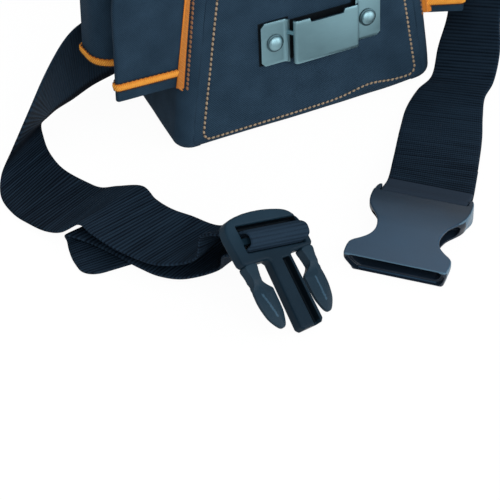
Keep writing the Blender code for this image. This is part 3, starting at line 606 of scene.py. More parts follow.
# Height of the hem, height of the tape, and the plan's side, reach, near, far, rear, fold, radii and lean.
SLEEVES = {
    "left_front": (42, 51.5, (-1, 38.2, 8.4, 9.9, 24.4, 3.4, 1.5, 1.5, True)),
    "left_rear": (48, 51, (-1, 37.6, 38, 38, 63, 25, 13, 3, False)),
    "right_front": (46, 53.6, (1, 22, 5.8, -3.6, 24.4, 14, 2.5, 2.5, True)),
    "right_rear": (46, 51.5, (1, 38, 38, 38, 63, 25, 13, 3, False)),
}
orange_yarn = yarn("orange_thread", (0.70, 0.26, 0.031), (1.0, 0.50, 0.072))
orange = cloth("orange_tape", (0.50, 0.15, 0.02), (0.74, 0.27, 0.04), 0.0010)
for label, (low, tape_z, plan) in SLEEVES.items():
    rows = []
    for step in range(27):
        z = low + (146 - low) * step / 26
        row = []
        for point in sleeve_plan(z, *plan):
            wrinkle = 0.7 * noise.noise(Vector((point.x, point.y, z * 0.5)) * 0.05)
            row.append(at(point.x + wrinkle * plan[0], point.y - wrinkle, z))
        rows.append(row)
    centre = sum((sum(row, Vector()) / len(row) for row in rows), Vector()) / len(rows)
    tube = skin(f"sleeve_cloth_{label}", rows, 0.0018, canvas, closed=True, inside=centre)
    shown(tube, "pouch", "canvas", f"sleeve_{label}")
    around = sleeve_plan(tape_z, *plan, grow=0.4)
    wall_x = half_width(tape_z) + 1.6
    start = next(i for i, point in enumerate(around) if abs(point.x) > wall_x)
    end = max(i for i, point in enumerate(around) if abs(point.x) > wall_x)
    line = around[start : end + 1]
    outs = []
    for i in range(len(line)):
        run = line[min(i + 1, len(line) - 1)] - line[max(i - 1, 0)]
        outs.append(Vector((run.y, -run.x, 0)).normalized())
    if (outs[0].y > 0) == (line[0].y < line[-1].y):
        outs = [-out for out in outs]

    def ring_at(rise, off):
        """The tape's line at a height above its middle, off the cloth."""
        lean = 0.45 * LEAN * rise if plan[8] else 0.0
        return [at(p.x + o.x * off, p.y + lean + o.y * off, tape_z + rise) for p, o in zip(line, outs)]

    band = [ring_at(rise, off) for rise, off in ((-2.4, 0), (-2.1, 0.45), (0, 0.55), (2.1, 0.45), (2.4, 0))]
    tape = skin(f"hem_tape_cloth_{label}", band, 0.0007, orange, inside=centre)
    shown(tape, "pouch", "orange_tape", f"hem_tape_{label}")
    braid = threads(f"hem_braid_{label}", ring_at(0, 0.7), outs, 0.0013, 0.0047, 0.00048, 1.0, orange_yarn)
    shown(braid, "pouch", "orange_tape")
    # Dark runs at both edges of the tape: stitches, and painted shade along the edges.
    for edge, rise in (("upper", 2.6), ("lower", -2.6)):
        run = threads(
            f"hem_stitches_{edge}_{label}", ring_at(rise, 0.35), outs, 0.0027, 0.0026, 0.00034, 0.2, dark_yarn
        )
        shown(run, "pouch", "orange_tape")

# Upright tapes at the front corners: a braided tape sewn over each front sleeve's edge,
# with a row of brown stitches beside it.
brown_yarn = yarn("brown_thread", (0.10, 0.042, 0.018), (0.36, 0.17, 0.075))
side_yarn = yarn("side_thread", (0.40, 0.125, 0.02), (0.62, 0.25, 0.047))
for side, label, low, near, over in ((-1, "left", 42, 8.4, 2.6), (1, "right", 47, 5.8, 3.2)):
    rows = []
    cord_path = []
    stitch_path = []
    out = Vector((side * 0.5, -0.86, 0.08)).normalized()
    for step in range(41):
        z = low + (146 - low) * step / 40
        centre = Vector((side * (half_width(z) - 9), LEAN * z + 9, z))
        turn = math.radians(52)
        inner = centre + Vector((side * math.sin(turn), -math.cos(turn), 0)) * 9.6
        outer = Vector((side * (half_width(z) + over), near + 0.45 * LEAN * z - 0.8, z))
        row = []
        for share, off in ((0, -0.3), (0.08, 0.3), (0.5, 0.5), (0.92, 0.3), (1, -0.3)):
            row.append(at(*(inner.lerp(outer, share) + out * off)))
        rows.append(row)
        cord_path.append(at(*(inner.lerp(outer, 0.5) + out * 0.6)))
        turn = math.radians(41)
        stitch_path.append(at(*(centre + Vector((side * math.sin(turn), -math.cos(turn), 0)) * 9.2)))
    tape = skin(f"side_tape_cloth_{label}", rows, 0.0007, orange, inside=at(0, 50, 90))
    shown(tape, "pouch", "orange_tape", f"side_tape_{label}")
    outs = [out] * len(cord_path)
    cord = threads(f"side_braid_{label}", cord_path, outs, 0.0013, 0.0048, 0.0005, 1.0, side_yarn)
    shown(cord, "pouch", "orange_tape")
    run = threads(f"side_stitches_{label}", stitch_path, outs, 0.0029, 0.0027, 0.00078, 0.3, brown_yarn)
    shown(run, "pouch", "orange_tape")

# Tape clip: a stamped satin steel bridge on two tabs, with windows in its legs.
# Domed rivets over washers hold each tab to the front panel.


def plate(name, outline, low, high):
    """A flat plate between two heights, from an outline in millimetres."""
    mesh = bpy.data.meshes.new(name)
    made = bmesh.new()
    corners = [made.verts.new((x * 0.001, y * 0.001, low * 0.001)) for x, y in outline]
    face = made.faces.new(corners)
    moved = bmesh.ops.extrude_face_region(made, geom=[face])["geom"]
    up = [v for v in moved if isinstance(v, bmesh.types.BMVert)]
    bmesh.ops.translate(made, verts=up, vec=(0, 0, (high - low) * 0.001))
    bmesh.ops.recalc_face_normals(made, faces=made.faces)
    made.to_mesh(mesh)
    made.free()
    return mesh


def box_outline(x0, x1, y0, y1):
    return [(x0, y0), (x1, y0), (x1, y1), (x0, y1)]


def joined(obj, mesh, operation, matrix=None):
    """Joins a mesh to an object, or cuts it out."""
    tool = bpy.data.objects.new("tool", mesh)
    bpy.context.scene.collection.objects.link(tool)
    if matrix:
        mesh.transform(matrix)
    boolean = obj.modifiers.new("tool", "BOOLEAN")
    boolean.operation = operation
    boolean.solver = "EXACT"
    boolean.object = tool
    baked(obj)
    bpy.data.objects.remove(tool)
    return obj


def steel(name, light, gloss, metallic):
    """Satin steel: fine rolling lines across the sheet and soft blotches."""
    material, places, link = surface(name, 0.3, metallic=metallic)
    place = places["Object"]
    x = place.node("SeparateXYZ", {0: place}, 0)
    z = place.node("SeparateXYZ", {0: place}, 2)
    flat = place.node("CombineXYZ", {0: x * 0.05, 2: z})
    lines = flat.speckle(2600.0, 3.0)
    blotch = place.speckle(90.0, 3.0)
    tone = lines * 0.5 + blotch * 0.5
    link("Base Color", tone.between([c * 0.85 for c in light], [c * 1.15 for c in light]))
    link("Roughness", tone * 0.2 + (0.7 - gloss))
    link("Normal", lines.node("Bump", {"Height": lines, "Strength": 0.12, "Distance": 0.0001}))
    return material


clip_steel = steel("clip_steel", (0.205, 0.355, 0.405), 0.42, 1.0)
clip_matrix = Matrix.Translation(at(7.4, LEAN * 57.3, 57.3)) @ Matrix.Rotation(-math.atan(LEAN), 4, "X")
profile = [(-40.5, -0.9), (-26.6, -0.9), (-25.2, -1.05), (-24.2, -1.6), (-23.7, -2.6), (-22, -5.8), (-21.6, -7)]
profile += [(-20.9, -7.9), (-19.6, -8.3)]
profile += [(-x, y) for x, y in reversed(profile)]
rows = []
for step in range(15):
    z = -13.75 + 27.5 * step / 14
    rows.append([Vector((x * 0.001, (y - 0.6) * 0.001, z * 0.001)) for x, y in profile])
clip = skin("clip_sheet", rows, 0.0012, clip_steel, edge=0.2, inside=Vector((0, 0.05, 0)))
upright = Matrix.Rotation(math.radians(90), 4, "X")
notch = [(-11, 11.3), (-10, 11.1), (10, 11.1), (11, 11.3), (13, 17), (-13, 17)]
joined(clip, plate("notch", notch, 3, 13), "DIFFERENCE", upright)
for side in (-1, 1):
    for low, high in ((-15, 4.5), (7, 15)):
        ends = sorted((side * 25.5, side * 20))
        joined(clip, plate("window", box_outline(*ends, low, high), 3.1, 6.6), "DIFFERENCE", upright)
    for end in (-1, 1):
        nip = [(side * 41.5, end * 10.2), (side * 36.9, end * 14.8), (side * 41.5, end * 14.8)]
        joined(clip, plate("nip", nip, -2, 6), "DIFFERENCE", upright)
clip.data.transform(clip_matrix)
shown(shaded(clip, 35), "pouch", "steel", "tape_clip")


def turned(name, profile, material, matrix, hollow=False):
    """A round piece: profile points (radius, height) in millimetres, run from the top down."""
    steps = 40
    points = []
    for radius, height in profile:
        for step in range(steps):
            turn = 2 * math.pi * step / steps
            points.append(Vector((radius * math.cos(turn), radius * math.sin(turn), height)) * 0.001)
    faces = []
    count = len(profile)
    for i in range(count if hollow else count - 1):
        for j in range(steps):
            a, b = i * steps, (i + 1) % count * steps
            k = (j + 1) % steps
            faces.append((a + j, b + j, b + k, a + k))
    mesh = bpy.data.meshes.new(name)
    mesh.from_pydata(points, [], faces)
    made = bmesh.new()
    made.from_mesh(mesh)
    bmesh.ops.remove_doubles(made, verts=made.verts, dist=1e-6)
    bmesh.ops.recalc_face_normals(made, faces=made.faces)
    made.to_mesh(mesh)
    made.free()
    mesh.transform(matrix)
    return shaded(linked(name, mesh, material), 50)


rivet_steel = steel("rivet_steel", (0.25, 0.41, 0.46), 0.3, 1.0)
# Painted shade: the washers get a dark steel so that they show as the shaded ring round each dome.
washer_shade_steel = steel("washer_shade_steel", (0.06, 0.11, 0.13), 0.36, 1.0)
for side, label in ((-1, "left"), (1, "right")):
    place = clip_matrix @ Matrix.Translation((side * 0.0315, 0, 0)) @ upright
    head = [(0, 4.4), (1.4, 4.28), (2.6, 3.98), (3.6, 3.5), (4.2, 3), (4.4, 2.6), (2.0, 2.58), (2.0, -3.9)]
    head += [(3.1, -3.95), (3.0, -4.6), (0, -5.0)]
    shown(turned(f"rivet_dome_{label}", head, rivet_steel, place), "pouch", "steel", f"rivet_{label}")
    for part, low, high in (("outer", 1.75, 2.45), ("inner", -3.6, -2.95)):
        ring = [(2.4, high), (4.6, high), (5.2, high - 0.15), (5.5, (low + high) / 2), (5.3, low), (2.4, low)]
        washer = turned(f"washer_{part}_{label}", ring, washer_shade_steel, place, hollow=True)
        shown(washer, "pouch", "steel", f"rivet_washer_{part}_{label}")

# Male half of the buckle: dark moulded plastic, held by the webbing wound round its ladder bar.
# A frame with an arched end bar carries a grooved guide and two spring prongs.


def frame_of(origin, along, across):
    """Axes of a buckle half: Y towards its webbing, X across, Z out of its face."""
    y = Vector(along).normalized()
    x = Vector(across)
    x = (x - y * x.dot(y)).normalized()
    matrix = Matrix((x, y, x.cross(y))).transposed().to_4x4()
    matrix.translation = at(*origin)
    return matrix


def plastic(name, dark, light, rough=0.32, specular=0.2, shade=None):
    """Moulded plastic with a fine spark-eroded grain and flow marks; shade (frame, start, run, depth) paints light
    and shade into the colour, lighter at one end and darker towards the other."""
    material, places, link = surface(name, rough, specular=specular)
    place = places["Object"]
    grain = place.speckle(2200.0, 2.0)
    flow = place.speckle(45.0, 3.0)
    tone = flow * 0.7 + grain * 0.3
    # Painted light and shade: the colour is lifted near the start and darkened along the run.
    if shade:
        half, start, run, depth = shade
        axis = half.col[1].to_3d()
        along = place.node("VectorMath", {0: place, 1: axis}, 1, operation="DOT_PRODUCT")
        begin = half.translation.dot(axis) + start
        far = along.node("Math", {0: along - begin, 1: 1 / run}, operation="MULTIPLY", use_clamp=True)
        tone = tone * 0.55 + 0.36 - far * depth
    link("Base Color", tone.between(dark, light))
    link("Roughness", flow * 0.15 + grain * 0.1 + (rough - 0.08))
    link("Normal", grain.node("Bump", {"Height": grain, "Strength": 0.18, "Distance": 0.0001}))
    return material


def moulded(name, solids, cuts, voxel, material, matrix, shape=None, keep=0.4):
    """A plastic moulding: solids joined, cuts taken out, edges eased by a fine remesh."""
    obj = linked(name, solids[0], material)
    for mesh in solids[1:]:
        joined(obj, mesh, "UNION")
    for mesh in cuts:
        joined(obj, mesh, "DIFFERENCE")
    remesh = obj.modifiers.new("remesh", "REMESH")
    remesh.mode = "VOXEL"
    remesh.voxel_size = voxel * 0.001
    ease = obj.modifiers.new("ease", "SMOOTH")
    ease.factor = 0.5
    ease.iterations = 6
    baked(obj)
    if shape:
        for vertex in obj.data.vertices:
            vertex.co = shape(vertex.co * 1000) * 0.001
    thin = obj.modifiers.new("thin", "DECIMATE")
    thin.ratio = keep
    baked(obj)
    obj.data.materials.clear()
    obj.data.materials.append(material)
    obj.data.transform(matrix)
    return shaded(obj, 50)


def rounded_plate(name, outline, low, high, radius):
    """A plate with its flat faces' edges rounded over."""
    mesh = plate(name, outline, low, high)
    made = bmesh.new()
    made.from_mesh(mesh)
    flat_edges = [e for e in made.edges if abs(e.verts[0].co.z - e.verts[1].co.z) < 1e-6]
    bmesh.ops.bevel(
        made, geom=flat_edges, offset=radius * 0.001, segments=4, profile=0.5, affect="EDGES", clamp_overlap=True
    )
    made.to_mesh(mesh)
    made.free()
    return mesh


def smoothed(corners, closed=True, steps=5):
    """A smooth curve through the corners."""
    count = len(corners)
    points = [Vector(corner) for corner in corners]
    curve = []
    for i in range(count if closed else count - 1):
        p0 = points[(i - 1) % count] if closed else points[max(i - 1, 0)]
        p1, p2 = points[i], points[(i + 1) % count]
        p3 = points[(i + 2) % count] if closed else points[min(i + 2, count - 1)]
        for step in range(steps):
            t = step / steps
            a = p1 * 2 + (p2 - p0) * t + (p0 * 2 - p1 * 5 + p2 * 4 - p3) * t**2
            curve.append((a + (p1 * 3 - p0 - p2 * 3 + p3) * t**3) * 0.5)
    return curve if closed else curve + [points[-1]]


male_frame = frame_of((-106.8, -118.9, 47.2), (-0.066, 0.795, 0.603), (0.94, 0.253, -0.23))
# Painted light and shade: the male half's end bar is painted lighter and it darkens towards the guide's tip.
tip_shade = (male_frame, -0.008, -0.020, 0.5)
male_plastic = plastic("male_plastic", (0.003, 0.0105, 0.019), (0.0135, 0.034, 0.054), 0.4, 0.07, tip_shade)
ladder = Matrix.Translation((0.0036, 0, 0)) @ Matrix.Rotation(math.radians(-4.9), 4, "Z")
end_edge = [(-27.6, -12), (-27, -7.4), (-24.6, -4), (-20.5, -2.4), (-14, -1.5), (-6, -1.3), (3, -2), (11, -3.4)]
end_edge += [(17.5, -5.2), (21.6, -7.8), (24.6, -12), (26.4, -17)]
male_edge = [tuple(point) for point in smoothed(end_edge, closed=False, steps=3)]
male_edge += [(26.4, -26.8), (25, -28.5), (10, -28.7), (8.4, -30.2), (8.9, -67.4), (7.2, -69.2)]
male_edge += [(-6.6, -70), (-8.5, -68.2), (-7.5, -30.2), (-9, -28.7), (-25, -28.5), (-26.4, -26.8)]
male_cuts = []
for low, high in ((2.2, 9), (-9, -2.2)):
    male_cuts.append(plate("recess", [(-20.4, -24), (20.8, -24), (20.8, -8.6), (-23, -8.6)], low, high))
male_cuts.append(plate("step", box_outline(-22.4, 20.4, -12, -9), -1.6, 9))
male_cuts.append(plate("slot", [(-21.4, -15.6), (20.4, -15.6), (20.4, -10.7), (-22.4, -10.7)], -9, 9))
male_cuts.append(plate("slot", [(-21.6, -24.4), (20.4, -24.4), (20.4, -19.2), (-22, -19.2)], -9, 9))
for mesh in male_cuts:
    mesh.transform(ladder)
male_cuts.append(plate("groove", box_outline(0.9, 6.3, -74, -30.5), -1.2, 9))
male_solid = rounded_plate("male", male_edge, -3.5, 3.5, 1.3)
male = moulded("buckle_male_moulding", [male_solid], male_cuts, 0.36, male_plastic, male_frame)
# Painted shade: a near-black plastic on the step floor under the end bar and in the guide's groove, where they lie
# in shade.
male.data.materials.append(plastic("male_recess_shade", (0.001, 0.003, 0.005), (0.003, 0.007, 0.011), 0.5, 0.05))
to_ladder = (male_frame @ ladder).inverted()
to_male = male_frame.inverted()
for polygon in male.data.polygons:
    x, y, z = to_ladder @ polygon.center * 1000
    if -23.2 < x < 21 and -12 < y < -8.4 and z < 2.4:
        polygon.material_index = 1
    x, y, z = to_male @ polygon.center * 1000
    if 0.5 < x < 6.7 and -67 < y < -30 and -2 < z < 2.9:
        polygon.material_index = 1
shown(male, "pouch", "plastic", "buckle_male")

prong_plastic = plastic("prong_plastic", (0.006, 0.016, 0.027), (0.014, 0.033, 0.051), 0.36, 0.09)
PRONG = [(17.4, 28.6), (25.1, 28.6), (24.6, 34), (24.5, 38.8), (25.6, 41), (26.2, 47), (25.8, 52), (24.4, 57.6)]
PRONG += [(22.2, 61.4), (19.6, 64.3), (17.4, 65), (15.2, 63.6), (13.4, 59.5), (12.3, 55), (12, 46), (12.2, 43)]
PRONG += [(16, 40.2), (18.4, 37.6), (17.8, 33)]
# Painted highlight: a pale plastic along the ridge of each spear head, where light catches it.
ridge_highlight = plastic("prong_ridge_highlight", (0.018, 0.042, 0.066), (0.042, 0.088, 0.132), 0.36, 0.09)
for side, label in ((-1, "left"), (1, "right")):
    edge = smoothed([(side * x, -v) for x, v in PRONG], steps=4)

    def almond(point):
        """Thins the spear head towards its edges."""
        flat = point.to_2d()
        near = 99.0
        for a, b in zip(edge, edge[1:] + edge[:1]):
            run = b - a
            share = max(0.0, min(1.0, (flat - a).dot(run) / run.length_squared))
            near = min(near, (a + run * share - flat).length)
        head = max(0.0, min(1.0, (-point.y - 37) / 5))
        slim = 0.3 + 0.75 * min(1.0, near / 5.6) ** 0.9
        return Vector((point.x, point.y, point.z * (1 + (slim - 1) * head)))

    solid = plate("prong", edge, -3, 3)
    prong = moulded(
        f"buckle_prong_moulding_{label}", [solid], [], 0.32, prong_plastic, male_frame, almond, 0.5
    )
    prong.data.materials.append(ridge_highlight)
    for polygon in prong.data.polygons:
        x, y, z = to_male @ polygon.center * 1000
        ridge = 0.228 * (-y - 43.5) - 22.9 if side < 0 else 17.4
        # Polygons along the ridge get the painted highlight.
        if z > 0 and 45 < -y < 59 and abs(x - ridge) < 0.5:
            polygon.material_index = 1
    shown(prong, f"prong_{label}", "plastic", f"buckle_prong_{label}")

# Female half: a waisted hollow housing of moulded plastic, open at its mouth and at both finger cut-outs.
# Rounded lugs stand either side of its bar, and the webbing's hem is looped round the bar.
female_frame = frame_of((-38.9, -155.2, 6.2), (0.745, 0.665, 0.057), (0.665, -0.745, 0.025))
# Painted shade: the female half's face darkens towards its bar.
bar_shade = (female_frame, 0.030, 0.024, 0.62)
female_plastic = plastic("female_plastic", (0.008, 0.019, 0.034), (0.037, 0.080, 0.136), shade=bar_shade)
HALF = [(27.6, 0), (29, 1.8), (29.2, 9.5), (27.6, 13), (23.6, 16.4), (20, 20.5), (18.4, 25.5), (18.8, 31)]
HALF += [(20.8, 36.5), (24.6, 41.5), (27.6, 46), (28.8, 51), (28.9, 57), (28.2, 62), (27, 64.5)]
side_curve = smoothed(HALF, closed=False)
female_edge = [tuple(p) for p in side_curve] + [(-p.x, p.y) for p in reversed(side_curve)]
housing = rounded_plate("housing", female_edge, -5.2, 5.2, 2.2)
mouth = fillet([(-25.5, -3.7, 3), (25.5, -3.7, 3), (25.5, 3.7, 3), (-25.5, 3.7, 3)])
cavity = plate("cavity", mouth, -47, 6)
cavity.transform(upright)
flare = fillet([(-27.8, -4.5, 3.6), (27.8, -4.5, 3.6), (27.8, 4.5, 3.6), (-27.8, 4.5, 3.6)])
lip = plate("lip", flare, -3.5, 6)
lip.transform(upright)
female_cuts = [cavity, lip, plate("slot", box_outline(-25.5, 25.5, 53.3, 58), -12, 4.2)]
for low, high, start in ((2, 12, 57.8), (-12, -2, 53.5)):
    female_cuts.append(plate("relief", box_outline(-25.5, 25.5, start, 70), low, high))
female_cuts.append(plate("behind", box_outline(-25.5, 25.5, 62, 70), -12, 12))


def tapered(point):
    """Draws the underside in and lifts the face a little towards the bar."""
    low = smooth((2.5 - point.z) / 7.7) * smooth((57 - point.y) / 8)
    low *= 0.35 + 0.65 * smooth(0.5 - point.x / 20)
    lift = 0.8 * smooth((point.y - 36) / 14) * smooth((point.z - 2) / 1.5) * smooth((59 - point.y) / 1)
    return Vector((point.x * (1 - 0.16 * low), point.y, point.z + lift))


female = moulded("buckle_female_housing", [housing], female_cuts, 0.4, female_plastic, female_frame, tapered)
# Painted shade: a dark plastic on the cavity, the mouth's face and the lip's rear edge, where they lie in shade.
female.data.materials.append(plastic("female_recess_shade", (0.004, 0.008, 0.014), (0.012, 0.022, 0.038)))
# Painted highlight: a pale plastic on the mouth's front edge and the right lug's outer side, where light catches
# them.
female.data.materials.append(plastic("female_edge", (0.040, 0.085, 0.130), (0.075, 0.145, 0.205)))
to_half = female_frame.inverted()
for polygon in female.data.polygons:
    x, y, z = to_half @ polygon.center * 1000
    # Index 1 is painted shade on the cavity, the mouth's face and the lip's rear edge.
    inner = abs(x) < 27.7 and abs(z) < 4.45 and y < 47.5
    if inner or (y < 1.8 and z < 4.3) or (57.2 < y < 58.4 and abs(x) < 25.4 and z > 2):
        polygon.material_index = 1
    # Index 2 is the painted highlight on the front edge and the right side.
    elif y < 0.9 or (x > 25 and polygon.normal.dot(female_frame.col[0].to_3d()) > 0.5):
        polygon.material_index = 2
shown(female, "female_half", "plastic", "buckle_female")

# Belt: one length of ribbed webbing from the hem at the female half, round behind the pouch, over the male's
# ladder bar and out to a folded tail. Pairs are its selvedges in millimetres, lower or inner edge first.
HEM = [((16, -67, 4.4), (51.5, -102, 7.4))]
FEMALE_WRAP = [(72.5, -1.4), (66.5, -2.8), (63, -3.9), (60, -4.3), (57, -3.6), (55.2, -1.7), (54.8, 0)]
FEMALE_WRAP += [(55.2, 1.7), (57, 3.6), (60, 4.3), (63, 3.9), (66.5, 2.8), (72.5, 1.6)]
AROUND = [
    ((15.5, -67.5, 8), (51, -102.5, 11)),
    ((38, -39.5, 4.5), (71, -77, 9.5)),
    ((55, -20, 2.5), (82, -61, 12)),
    ((71.5, -7, 2.5), (90.5, -50, 16)),
    ((85, -1, 4.5), (101, -43, 20)),
    ((97.5, 12, 15), (111.5, -32.5, 32.5)),
    ((111.5, 24, 30), (117.5, -21.5, 50)),
    ((120, 39, 62), (134, -5, 80)),
    ((137, 58, 80), (145, 26, 117)),
    ((141, 79, 86), (140, 71, 135)),
    ((125, 93, 81), (119, 91.5, 130)),
    ((101.5, 94.9, 67), (82.5, 94.9, 113)),
    ((54.5, 94.9, 47), (35.5, 94.9, 93)),
    ((8.5, 94.9, 29.5), (-8.5, 94.9, 76.5)),
    ((-38, 94.9, 14), (-52, 94.9, 62)),
    ((-84.5, 95.3, 2.6), (-89.5, 95.3, 52.2)),
    ((-103, 90, 2.2), (-106, 87, 52)),
    ((-113, 85.5, 2), (-118, 80.5, 51.5)),
    ((-120, 82, 2), (-130, 71, 50)),
    ((-133.5, 76.5, 2), (-148, 55, 43.5)),
    ((-141, 72, 2), (-164.5, 41, 32.5)),
    ((-147, 68, 2), (-180, 32.5, 15)),
    ((-152.5, 52, 2), (-192, 22, 8)),
    ((-155.5, 36, 2), (-198, 9.5, 3)),
    ((-155, 18, 2), (-198, -7.5, 2)),
    ((-148.5, 0, 2), (-194.5, -20, 2.5)),
    ((-144.5, -11, 4), (-189.5, -33, 4)),
    ((-138, -20.5, 9), (-184, -41, 6.8)),
    ((-128, -31.5, 12.5), (-176, -46.5, 13)),
    ((-126.5, -44.5, 11.5), (-174, -59, 14.5)),
    ((-122.5, -56, 11), (-169.5, -72, 13.5)),
    ((-115.5, -65, 10), (-162.5, -81.5, 10.8)),
    ((-104.5, -82, 10.5), (-152, -98.5, 12)),
    ((-94, -88, 19), (-138, -112, 20)),
]
MALE_WRAP = [(4, -18, -3.6, 1), (7.4, -10, -2.6, 0.93), (10.8, -4.6, -1.4, 0.84), (12, -1, -1, 0.81)]
MALE_WRAP += [(12.6, 2.5, -0.9, 0.81), (13.5, 5.2, 0.4, 0.83), (15.6, 6.9, 1.2, 0.84), (18.4, 7.1, 1.4, 0.84)]
MALE_WRAP += [(21, 6.2, 1.2, 0.84), (22.5, 3.4, -0.5, 0.82), (22.8, 0, -1, 0.81), (22.2, -4.6, -1.4, 0.83)]
MALE_WRAP += [(19.5, -10, -2.6, 0.93)]
TAIL = [
    ((-84, -96, 11.5), (-128, -119, 14)),
    ((-97, -89, 5.5), (-143, -108, 6)),
    ((-106.5, -79, 4.8), (-152.5, -98.5, 4.8)),
    ((-113, -67, 4.7), (-158.5, -87.5, 4.7)),
    ((-118.5, -53, 4.7), (-165, -72, 4.7)),
    ((-125, -40, 4.7), (-172.5, -56, 4.7)),
    ((-130.5, -34, 4.6), (-181.3, -43.2, 4.6)),
    ((-131, -32, 3.1), (-181.8, -41.4, 3.1)),
    ((-130.7, -34, 1.6), (-181.5, -43.2, 1.6)),
    ((-133, -46, 1.5), (-183.8, -51, 1.5)),
    ((-136, -57, 1.5), (-185.8, -60.5, 1.5)),
    ((-136.5, -70, 1.5), (-186.2, -70.5, 1.5)),
    ((-136, -79, 1.5), (-185.8, -77.5, 1.5)),
]


def on_buckle(matrix, points, inner):
    """Selvedge pairs from distances along a buckle half, out of its face and aside, and the share of the width."""
    pairs = []
    for along, out, aside, share in points:
        middle = Vector((aside, along, out)) * 0.001
        half = Vector((inner * share, 0, 0))
        pairs.append((matrix @ (middle + half), matrix @ (middle - half)))
    return pairs


def plain(pairs):
    return [(at(*a), at(*b)) for a, b in pairs]


def eased(p0, p1, p2, p3, share):
    """A point on a smooth curve from p1 to p2."""
    step = [max((b - a).length, 1e-6) ** 0.5 for a, b in ((p0, p1), (p1, p2), (p2, p3))]
    t1 = step[0]
    t2 = t1 + step[1]
    t3 = t2 + step[2]
    t = t1 + (t2 - t1) * share
    a1 = p0.lerp(p1, t / t1)
    a2 = p1.lerp(p2, (t - t1) / (t2 - t1))
    a3 = p2.lerp(p3, (t - t2) / (t3 - t2))
    b1 = a1.lerp(a2, t / t2)
    b2 = a2.lerp(a3, (t - t1) / (t3 - t1))
    return b1.lerp(b2, (t - t1) / (t2 - t1))


female_points = [(along, out, 0, 1) for along, out in FEMALE_WRAP]
male_points = [(-along, out, aside, share) for along, out, aside, share in MALE_WRAP]
route = plain(HEM) + on_buckle(female_frame, female_points, -0.025) + plain(AROUND)
route += on_buckle(male_frame @ ladder, male_points, 0.025) + plain(TAIL)
KNOT_STEPS = 24
dense = []
for i in range(len(route) - 1):
    knots = [route[max(i - 1, 0)], route[i], route[i + 1], route[min(i + 2, len(route) - 1)]]
    for step in range(KNOT_STEPS):
        pair = []
        for side in (0, 1):
            p0, p1, p2, p3 = (knot[side] for knot in knots)
            p0 = p1 * 2 - p2 if i == 0 else p0
            p3 = p2 * 2 - p1 if i + 2 == len(route) else p3
            pair.append(eased(p0, p1, p2, p3, step / KNOT_STEPS))
        dense.append(pair)
dense.append(list(route[-1]))
travel = [0.0]
for a, b in zip(dense, dense[1:]):
    travel.append(travel[-1] + ((b[0] + b[1] - a[0] - a[1]) / 2).length)
RIB = 0.0022
spacing = RIB / 6
stations = []
seek = 0
for step in range(int(travel[-1] / spacing) + 1):
    wanted = step * spacing
    while travel[seek + 1] < wanted and seek < len(travel) - 2:
        seek += 1
    share = (wanted - travel[seek]) / max(travel[seek + 1] - travel[seek], 1e-9)
    stations.append([dense[seek][k].lerp(dense[seek + 1][k], share) for k in (0, 1)])
hem_start, hem_end = (travel[KNOT_STEPS * (len(HEM) + knot)] for knot in (8, 12))
hem_middle = (hem_start + hem_end) / 2
hem_half = (hem_end - hem_start) / 2
ACROSS = (-1, -0.985, -0.95, -0.9, -0.6, -0.3, 0, 0.3, 0.6, 0.9, 0.95, 0.985, 1)
THICK = (0.15, 0.75, 0.95, 1, 1, 1, 1, 1, 1, 1, 0.95, 0.75, 0.15)
points = []
for i, (a, b) in enumerate(stations):
    before = stations[max(i - 4, 0)]
    after = stations[min(i + 4, len(stations) - 1)]
    along = after[0] + after[1] - before[0] - before[1]
    out = (b - a).cross(along).normalized()
    rounding = max(0.0, 1 - (len(stations) - 1 - i) * spacing / 0.009)
    b = b.lerp(a, 0.18 * (1 - math.sqrt(1 - rounding**2)))
    rib = 0.5 + 0.5 * math.cos(2 * math.pi * i / 6)
    if abs(i * spacing - hem_middle) < hem_half:
        rib = 0.5
    ring = []
    for sign in (1, -1):
        face = []
        for c, t in zip(ACROSS, THICK):
            ribbed = rib if abs(c) < 0.93 else 0.5
            face.append((a + b) / 2 + (b - a) * (c / 2) + out * sign * t * (0.00068 + 0.0003 * ribbed))
        ring += face if sign == 1 else face[::-1]
    points += ring
wide = 2 * len(ACROSS)
faces = []
for i in range(len(stations) - 1):
    for j in range(wide):
        k = (j + 1) % wide
        faces.append((i * wide + j, (i + 1) * wide + j, (i + 1) * wide + k, i * wide + k))
faces.append(tuple(range(wide)))
faces.append(tuple(range(len(points) - 1, len(points) - wide - 1, -1)))
mesh = bpy.data.meshes.new("belt")
mesh.from_pydata(points, [], faces)
layer = mesh.uv_layers.new(name="UVMap")
spread = [c * 0.025 for c in ACROSS] + [c * 0.025 for c in reversed(ACROSS)]
for loop in mesh.loops:
    layer.data[loop.index].uv = (spread[loop.vertex_index % wide], loop.vertex_index // wide * spacing)


knots = travel[KNOT_STEPS * (len(HEM) + len(FEMALE_WRAP)) :: KNOT_STEPS]


